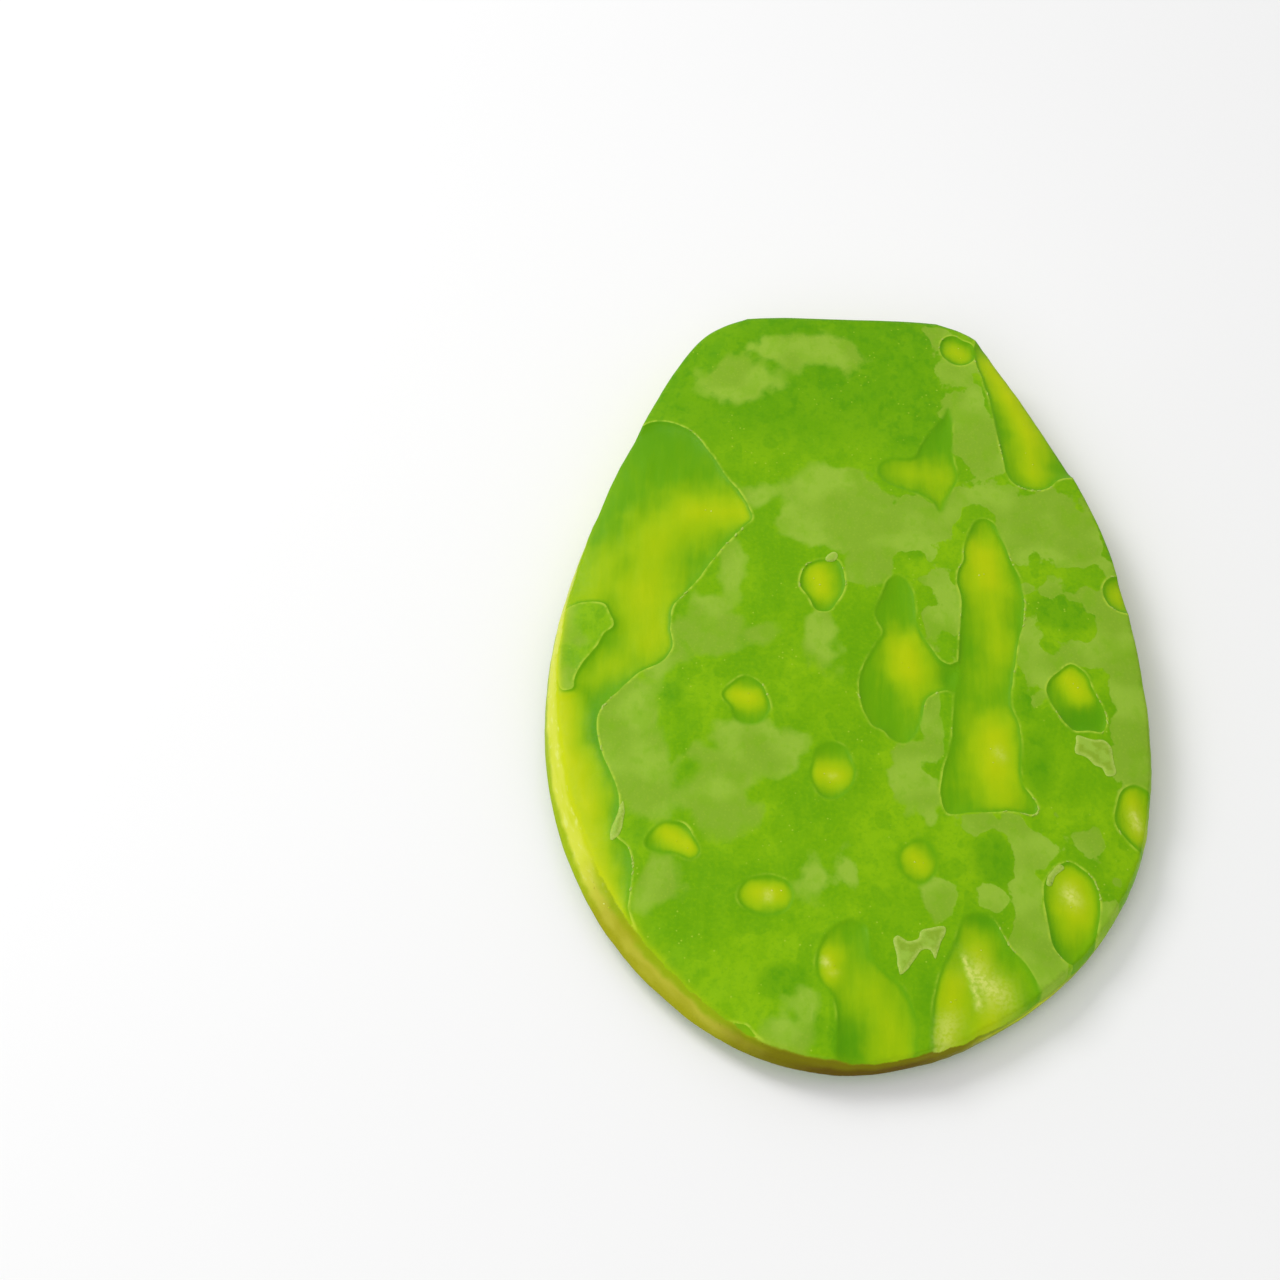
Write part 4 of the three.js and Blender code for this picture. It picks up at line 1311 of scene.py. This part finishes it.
def skin_layers(f, colours):
    """Colour, roughness and relief of green skin, wet or dried to a bloom with a painted sheen, and of its
    shaved hollows, with painted shade towards the stem end and a painted highlight along the rim's upper
    edge.
    """
    cut, glow, crisp, dry, soft, deep, pale, ridge = f.values("cut glow crisp dry soft deep pale ridge")
    broad, middling = f.noise(16, (1, 1.5, 1), 1.5), f.noise(5.5, (1, 1.25, 1), 4.0, 0.52)
    blots, shifts = f.noise(6, (1, 1.3, 1), 1.5, 0.4), f.noise(11, detail=1.0)
    streaks, fine = f.noise(1.5, (1, 7, 1), 2.0), f.noise(0.8, detail=2.0)
    mottle = f.noise(1.9, (1, 1.3, 1), 3.0, 0.6)

    tone = f.plus(f.times(broad, 0.6), f.times(middling, 0.4))
    flecks = f.times(f.span(f.dots(1.6), 0.16, 0.06), f.span(shifts, 0.5, 0.58))
    wet = f.coats(
        colours.deep_skin,
        (colours.wet_skin, tone, 0.38, 0.49),
        (colours.bright_skin, tone, 0.49, 0.58),
        (colours.deep_skin, blots, 0.40, 0.365, 0, 0.6),
        (colours.bright_skin, streaks, 0.4, 0.75, 0, 0.2),
        (colours.deep_skin, mottle, 0.42, 0.68, 0, 0.42),
        (colours.darkest_skin_and_shade, fine, 0.5, 0.72, 0, 0.22),
        (colours.bright_skin, fine, 0.48, 0.3, 0, 0.3),
        # Darkest in the deep spots and in the painted shadow towards the stem end.
        (colours.darkest_skin_and_shade, f.times(deep, f.span(mottle, 0.3, 0.6, 0.8, 0.4))),
        (colours.lip, f.times(flecks, 0.6)),
    )

    frayed = f.plus(f.away(blots, 10.0), f.away(middling, 4.5), f.away(mottle, 2.4))
    dryness = f.across(f.plus(dry, frayed), soft)
    # Dried bloom, painted pale partly with the sheen that its rough wax reflects.
    bloom = f.coats(
        colours.pale_bloom_and_sheen,
        (colours.dry_skin_and_sheen, shifts, 0.36, 0.6),
        (colours.lip, f.dots(0.75), 0.1, 0.42, 0.16, 0),
        (colours.wet_skin, middling, 0.5, 0.66, 0, 0.35),
        (colours.wet_skin, mottle, 0.5, 0.7, 0, 0.3),
    )
    lip = f.times(f.span(cut, -0.7, -0.05), f.span(mottle, 0.38, 0.6, 0.2, 0.95))
    skin = f.coats(
        wet,
        (bloom, f.times(dryness, 0.92)),
        (colours.lip, f.times(lip, f.span(crisp, 0.3, 1.0))),
    )

    warm = f.plus(glow, f.away(middling, 0.3), f.away(streaks, 0.2))
    flesh = f.coats(
        colours.hollow_ring,
        (colours.wet_skin, streaks, 0.35, 0.7, 0, 0.3),
        # The same darkening, painted shadow included, reaches into the cuts.
        (colours.darkest_skin_and_shade, f.times(deep, 0.75)),
        (colours.hollow_flesh, warm, 0.02, 0.6),
        (colours.heart, warm, 0.4, 1.05),
        (colours.rim_fresh, warm, 0.95, 1.4),
        (colours.pale_flesh, f.times(pale, f.span(fine, 0.35, 0.6, 0.4, 1))),
    )
    in_cut = f.across(cut, f.span(crisp, 0.1, 0.8, 1.8, 0.16))
    # The flesh shows in the cuts, and a painted highlight in the fresh flesh colour runs along the rim's
    # upper edge.
    colour = f.coats(skin, (flesh, in_cut), (colours.rim_fresh, ridge))

    rough_skin = f.blend(dryness, f.span(middling, 0.35, 0.65, 0.3, 0.42), f.span(fine, 0.3, 0.7, 0.5, 0.6))
    roughness = f.blend(in_cut, rough_skin, f.span(fine, 0.3, 0.7, 0.36, 0.5))
    height = f.plus(f.times(dryness, -0.03), f.times(streaks, 0.04), f.times(fine, 0.02))
    return colour, roughness, height


def skin_finish(colours):
    """The two faces of the pad."""
    f = Finish("cactus_skin")
    colour, roughness, height = skin_layers(f, colours)
    return f.shader(colour, roughness, f.relief(height), 0.07, 0.12)


def rim_finish(colours):
    """The trimmed rim and stem cut: pale fibrous flesh between the skins, with a painted highlight on the
    pale bevel on the left, browned towards the tip and darkened there with painted shade.
    """
    f = Finish("trimmed_flesh")
    skin, skin_roughness, skin_height = skin_layers(f, colours)
    below, above, streak, stem, wrap = f.values("below above streak stem wrap")
    olive, tan, cream = f.values("olive tan cream")
    fibres, broad = f.noise(1.1, (2.4, 2.4, 0.6), 3.0, 0.55), f.noise(7, detail=2.0)
    fine, specks = f.noise(0.35, detail=2.0), f.dots(2.6)
    waver = f.away(f.noise(3, detail=3.0), 1.4)
    down, up = f.plus(below, waver), f.plus(above, f.times(waver, 0.5))
    share = f.maths("DIVIDE", f.plus(down, f.times(streak, 0.35)), f.plus(below, above))
    under_wrap = f.maths("SUBTRACT", down, wrap)
    patches = f.away(broad, 0.3)

    # The pale cream band on the left: fresh flesh with a painted highlight across its bevel.
    cream_and_highlight_band = f.coats(
        colours.rim_fresh,
        (colours.rim_cream_highlight, share, 0.03, 0.2),
        (colours.rim_fresh, streak, 0.1, 0.8, 0, 0.6),
        (colours.pale_flesh, fibres, 0.54, 0.72, 0, 0.7),
        (colours.rim_line, share, 0.42, 0.58),
    )
    tanned = f.coats(
        colours.rim_green,
        (colours.rim_tan, share, 0.14, 0.34),
        (colours.rim_edge, streak, 0, 0.7, 0, 0.55),
        (colours.rim_edge, share, 0.46, 0.64, 0, 0.85),
    )
    # Olive and brown: cut browned by the air, with painted shade on the rim's front that grows darker towards
    # its foot.
    aged_and_shaded = f.coats(
        colours.rim_olive_and_shade,
        (colours.rim_brown_and_shade, share, 0.2, 0.5),
        (colours.rim_olive_and_shade, olive, 0.7, 0.95, 0.8, 0),
        (colours.rim_green, share, 0.16, 0.04, 0, 0.7),
    )
    colour = f.coats(
        colours.rim_flesh,
        (colours.pale_flesh, fibres, 0.36, 0.62),
        (colours.rim_green, broad, 0.4, 0.65, 0, 0.4),
        (colours.rim_fresh, under_wrap, 2.2, 1.2),
        (colours.rim_skin, under_wrap, 1.2, 0.6),
        (colours.rim_green, up, 3.4, 2.6, 0, 0.8),
        # The cream zone, with its painted highlight.
        (cream_and_highlight_band, cream, 0.25, 0.6),
        (tanned, f.plus(tan, patches), 0.3, 0.7),
        # The olive zone on the rim's front, browned and darkened with painted shade.
        (aged_and_shaded, f.plus(olive, patches), 0.25, 0.7),
        (colours.under_skin, up, 0.9, 0.5),
        (colours.rim_brown_and_shade, f.times(f.span(specks, 0.14, 0.05), f.span(fine, 0.5, 0.62, 0, 0.4))),
        (colours.pale_flesh, f.times(stem, f.span(fine, 0.3, 0.7, 0.05, 0.35))),
    )

    wrapped = f.span(f.plus(under_wrap, f.away(fine, 0.4)), 0.25, -0.2)
    roughness = f.blend(wrapped, f.span(fibres, 0.3, 0.7, 0.36, 0.5), skin_roughness)
    height = f.plus(f.times(fibres, 0.14), f.times(fine, 0.03))
    normal = f.relief(f.blend(wrapped, height, skin_height))
    return f.shader(f.mix(wrapped, colour, skin), roughness, normal, 0.08, 0.15)


def scrap_finish(colours):
    """Thin skin that has dried pale, most of all along its edge."""
    f = Finish("dried_scrap")
    patches, fine = f.noise(2.2, detail=3.0), f.noise(0.5, detail=2.0)
    frayed = f.span(f.plus(f.value("edge"), f.away(patches, 1.2)), 0.9, 0.1, 0.05, 0.85)
    colour = f.coats(
        colours.scrap,
        # Pale patches in the bloom colour, with its painted sheen.
        (colours.pale_bloom_and_sheen, patches, 0.4, 0.6),
        (colours.pale_scrap, f.times(frayed, f.span(fine, 0.35, 0.6, 0.5, 1))),
    )
    return f.shader(colour, f.span(fine, 0.3, 0.7, 0.4, 0.6), f.relief(f.times(fine, 0.06)), 0.2, 0.15)


def fibre_finish(colours):
    """The pale ends of the fibres."""
    f = Finish("fibre_ends")
    patches = f.noise(0.7, detail=3.0)
    colour = f.coats(colours.heart, (colours.pale_flesh, patches, 0.4, 0.6))
    roughness = f.span(patches, 0.3, 0.7, 0.3, 0.45)
    return f.shader(colour, roughness, f.relief(f.times(patches, 0.04)), 0.2, 0.15)


# ---- Settings ----


def colour_setting(name, description, rgb):
    return bpy.props.FloatVectorProperty(
        name=name, description=description, subtype="COLOR", size=3, min=0, max=1, default=shade(*rgb)
    )


def length_setting(name, description, millimetres):
    return bpy.props.FloatProperty(
        name=name, description=description, default=millimetres * MM, min=0, unit="LENGTH", precision=5
    )


def light_power(name, description, watts):
    return bpy.props.FloatProperty(name=name, description=description, default=watts, min=0, unit="POWER")


class PadSizes(bpy.types.PropertyGroup):
    """Sizes of the knife work on the pad."""

    skin: length_setting("Skin step", "Drop from the skin to the shaved flesh at a knife's edge", 0.15)
    mound: length_setting("Mound", "Height of the firm flesh in the middle of a hollow", 0.3)
    lip: length_setting("Lip", "Height of the raised skin along a knife's edge", 0.06)
    upper_step: length_setting("Upper mesh step", "Distance between points on the upper face", 0.65)
    under_step: length_setting("Under mesh step", "Distance between points on the underside", 1.1)
    hollow: bpy.props.FloatProperty(
        name="Hollow depth", description="Depth of every hollow, as a share of its usual depth",
        default=0.55, min=0, max=1.5, subtype="FACTOR",
    )


class PadColours(bpy.types.PropertyGroup):
    """Colours of the pad's skin and flesh."""

    wet_skin: colour_setting("Wet skin", "Skin under a film of water", (122, 178, 2))
    bright_skin: colour_setting("Bright skin", "Yellow-green patches of wet skin", (137, 188, 4))
    deep_skin: colour_setting("Deep skin", "Darker patches of wet skin", (110, 170, 2))
    # Darkest wet skin, also the colour of the painted shadow towards the stem end and in some spots.
    darkest_skin_and_shade: colour_setting("Darkest skin", "Darkest wet skin", (84, 154, 2))
    # Dry skin and pale bloom: dried skin, painted paler with the sheen of its rough wax.
    dry_skin_and_sheen: colour_setting("Dry skin", "Skin dried to a bloom", (136, 177, 43))
    pale_bloom_and_sheen: colour_setting("Pale bloom", "Palest dry skin", (153, 191, 58))
    lip: colour_setting("Lip", "Skin frayed pale along a knife's edge", (178, 208, 60))
    hollow_ring: colour_setting("Hollow ring", "Flesh just inside a cut", (104, 167, 1))
    hollow_flesh: colour_setting("Hollow flesh", "Flesh further in", (154, 193, 2))
    heart: colour_setting("Heart", "Yellow flesh where spines grew", (180, 203, 2))
    pale_flesh: colour_setting("Pale flesh", "Palest fibres", (220, 228, 118))
    rim_green: colour_setting("Rim green", "Green flesh near the skin", (148, 172, 8))
    rim_flesh: colour_setting("Rim flesh", "Flesh in the middle of the rim", (186, 204, 84))
    # Pale fresh flesh with a painted highlight on the bevel on the left.
    rim_cream_highlight: colour_setting("Rim cream", "Palest fresh cut on the left", (210, 218, 68))
    # Rim fresh is also the colour of the painted highlight along the rim's upper edge.
    rim_fresh: colour_setting("Rim fresh", "Fresh cut near the skin, and the ripest flesh", (196, 210, 6))
    rim_line: colour_setting("Rim line", "Outermost line of a fresh cut", (158, 184, 10))
    rim_skin: colour_setting("Rim skin", "Cut edge of the skin", (146, 178, 34))
    rim_tan: colour_setting("Rim tan", "Cut browned a little by the air", (182, 181, 52))
    rim_edge: colour_setting("Rim edge", "Darker streaks in the browned cut", (158, 160, 12))
    # Rim olive and rim brown: browned cut, darkened with painted shade on the rim's front. Rim brown also
    # gives the dark specks.
    rim_olive_and_shade: colour_setting("Rim olive", "Cut browned by the air", (124, 120, 2))
    rim_brown_and_shade: colour_setting("Rim brown", "Darkest old cut", (98, 80, 1))
    under_skin: colour_setting("Under skin", "Skin at the foot of the rim", (72, 116, 8))
    scrap: colour_setting("Scrap", "Scraps of dried skin", (138, 174, 34))
    pale_scrap: colour_setting("Pale scrap", "Palest dried skin", (180, 207, 88))


class PadTrimmings(bpy.types.PropertyGroup):
    """Sizes of the small flakes and fibre ends."""

    flake_length: length_setting("Flake length", "Length of a flake along the knife's edge", 0.9)
    flake_width: length_setting("Flake width", "Width of a flake", 0.4)
    flake_thickness: length_setting("Flake thickness", "Thickness of a flake", 0.12)
    flake_spacing: length_setting("Flake spacing", "Least distance between flakes", 0.7)
    flake_share: bpy.props.FloatProperty(
        name="Flake share", description="Share of the places in a cluster that hold a flake",
        default=0.45, min=0, max=1, subtype="FACTOR",
    )
    bead_radius: length_setting("Bead radius", "Radius of a fibre's end", 0.15)
    seed: bpy.props.IntProperty(name="Seed", description="Changes every random place and size", default=3)


class PadStudio(bpy.types.PropertyGroup):
    """Camera and light."""

    floor_colour: bpy.props.FloatVectorProperty(
        name="Floor", description="Colour of the floor", subtype="COLOR", size=3, min=0, max=1,
        default=(0.97, 0.97, 0.97),
    )
    world_strength: bpy.props.FloatProperty(
        name="Room light", description="Strength of the light from all round", default=0.58, min=0
    )
    key_power: light_power("Key light", "Power of the large light behind on the left", 6.2)
    fill_power: light_power("Fill light", "Power of the light in front", 3.0)


# ---- Operators ----


def settings():
    return bpy.context.scene.cactus_pad


class CactusPadSettings(bpy.types.PropertyGroup):
    """All settings of the cactus pad."""

    sizes: bpy.props.PointerProperty(type=PadSizes)
    colours: bpy.props.PointerProperty(type=PadColours)
    trimmings: bpy.props.PointerProperty(type=PadTrimmings)
    studio: bpy.props.PointerProperty(type=PadStudio)


@functools.cache
def pad_shape():
    """The pad's shape, worked out once for all pieces."""
    return PadShape(settings().sizes)


def finished(piece, *materials):
    """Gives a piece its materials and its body."""
    for material in materials:
        piece.data.materials.append(material)
    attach(piece, BODY)
    return piece


class CACTUSPAD_OT_pad(bpy.types.Operator):
    """Build the pad with its knife cuts, trimmed rim and stem cut"""

    bl_idname = "cactus_pad.pad"
    bl_label = "Pad"

    def execute(self, context):
        colours = settings().colours
        pad = build_pad(pad_shape())
        finished(pad, skin_finish(colours), rim_finish(colours))
        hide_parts(NODE)
        return {"FINISHED"}


class CACTUSPAD_OT_scraps(bpy.types.Operator):
    """Lay the scraps of thin skin on the upper face"""

    bl_idname = "cactus_pad.scraps"
    bl_label = "Skin scraps"

    def execute(self, context):
        finished(build_scraps(pad_shape()), scrap_finish(settings().colours))
        return {"FINISHED"}


class CACTUSPAD_OT_flakes(bpy.types.Operator):
    """Scatter flakes of skin along the knife's edges"""

    bl_idname = "cactus_pad.flakes"
    bl_label = "Knife flakes"

    def execute(self, context):
        material = scrap_finish(settings().colours)
        group = flake_tree(settings().trimmings, material)
        finished(group.bake(knife_edge_lines(pad_shape()), "knife_flakes"), material)
        return {"FINISHED"}


class CACTUSPAD_OT_beads(bpy.types.Operator):
    """Set the ends of the fibres in the hearts and the stem cut"""

    bl_idname = "cactus_pad.beads"
    bl_label = "Fibre ends"

    def execute(self, context):
        material = fibre_finish(settings().colours)
        group = bead_tree(settings().trimmings, material)
        finished(group.bake(bead_places(pad_shape()), "fibre_ends"), material)
        return {"FINISHED"}


# ---- The stage ----

# The camera looks down on the tip end, past the middle of the pad on its left.
LOOK = Vector((-41.9, 9.9, 0)) * MM
CAMERA_ELEVATION = 52
CAMERA_AZIMUTH = 2
CAMERA_DISTANCE = 0.56
CAMERA_LENS = 75
CAMERA_SENSOR = 36
CLIP = (0.01, 30)
FLOOR_HALF = 6
FLOOR_SHADE = 0.985  # of the darker places in the floor's faint haze

# Where each light stands, seen from the pad, and how wide it is.
LightPlace = namedtuple("LightPlace", "azimuth elevation distance size")
KEY_PLACE = LightPlace(232, 42, 1.2, 0.55)
FILL_PLACE = LightPlace(-25, 40, 1.2, 0.8)


def direction(azimuth, elevation):
    """The unit vector towards a place at that azimuth, from the front and turning right, and elevation."""
    turn, lift = math.radians(azimuth), math.radians(elevation)
    return Vector((math.sin(turn) * math.cos(lift), -math.cos(turn) * math.cos(lift), math.sin(lift)))


def aim(name, data, target, azimuth, elevation, distance):
    """A new camera or light that looks at the target from a place at that direction and distance."""
    thing = bpy.data.objects.new(name, data)
    thing.location = target + direction(azimuth, elevation) * distance
    thing.rotation_euler = (target - thing.location).to_track_quat("-Z", "Y").to_euler()
    bpy.context.scene.collection.objects.link(thing)
    return thing


def add_camera():
    lens = bpy.data.cameras.new("camera")
    lens.lens, lens.sensor_width = CAMERA_LENS, CAMERA_SENSOR
    lens.clip_start, lens.clip_end = CLIP
    camera = aim("camera", lens, LOOK, CAMERA_AZIMUTH, CAMERA_ELEVATION, CAMERA_DISTANCE)
    bpy.context.scene.camera = camera


def add_soft_light(name, power, place):
    lamp = bpy.data.lights.new(name, "AREA")
    lamp.energy, lamp.size = power, place.size
    aim(name, lamp, Vector((0, 0, 0)), place.azimuth, place.elevation, place.distance)


def floor_finish(colour):
    """A plain pale floor with a very faint haze."""
    f = Finish("studio_floor")
    haze = f.noise(180, detail=1.0)
    tint = f.coats(colour, (tuple(FLOOR_SHADE * c for c in colour), haze, 0.3, 0.7))
    return f.shader(tint, 0.7, f.relief(f.times(haze, 0.01)), 0.2, 0.0)


def add_floor(colour):
    half = FLOOR_HALF / MM
    corners = [(-half, -half, 0), (half, -half, 0), (half, half, 0), (-half, half, 0)]
    floor = add_piece("studio_floor", new_mesh("studio_floor", corners, faces=[(0, 1, 2, 3)]))
    floor.data.materials.append(floor_finish(colour))


def add_room(strength):
    """White light from all round."""
    world = bpy.data.worlds.new("studio")
    world.use_nodes = True
    sky = world.node_tree.nodes["Background"]
    sky.inputs["Color"].default_value = (1, 1, 1, 1)
    sky.inputs["Strength"].default_value = strength
    bpy.context.scene.world = world


class CACTUSPAD_OT_stage(bpy.types.Operator):
    """Set the floor, the lights and the camera"""

    bl_idname = "cactus_pad.stage"
    bl_label = "Stage"

    def execute(self, context):
        studio = settings().studio
        add_camera()
        add_floor(tuple(studio.floor_colour))
        add_room(studio.world_strength)
        add_soft_light("key", studio.key_power, KEY_PLACE)
        add_soft_light("fill", studio.fill_power, FILL_PLACE)
        context.scene.view_settings.view_transform = "Standard"
        return {"FINISHED"}


class CACTUSPAD_PT_panel(bpy.types.Panel):
    """Every step of the cactus pad, in order"""

    bl_label = "Cactus Pad"
    bl_idname = "CACTUSPAD_PT_panel"
    bl_space_type = "VIEW_3D"
    bl_region_type = "UI"
    bl_category = "Cactus Pad"

    def draw(self, context):
        for operator in OPERATORS:
            self.layout.operator(operator.bl_idname)
        groups = settings()
        for group in (groups.sizes, groups.colours, groups.trimmings, groups.studio):
            box = self.layout.box()
            for name in group.__annotations__:
                box.prop(group, name)


OPERATORS = (
    CACTUSPAD_OT_pad,
    CACTUSPAD_OT_scraps,
    CACTUSPAD_OT_flakes,
    CACTUSPAD_OT_beads,
    CACTUSPAD_OT_stage,
)
CLASSES = (PadSizes, PadColours, PadTrimmings, PadStudio, CactusPadSettings, *OPERATORS, CACTUSPAD_PT_panel)


def register():
    for each in CLASSES:
        bpy.utils.register_class(each)
    bpy.types.Scene.cactus_pad = bpy.props.PointerProperty(type=CactusPadSettings)


def unregister():
    del bpy.types.Scene.cactus_pad
    for each in reversed(CLASSES):
        bpy.utils.unregister_class(each)


def main():
    register()
    bpy.ops.cactus_pad.pad()
    bpy.ops.cactus_pad.scraps()
    bpy.ops.cactus_pad.flakes()
    bpy.ops.cactus_pad.beads()
    bpy.ops.cactus_pad.stage()


if __name__ == "__main__":
    main()
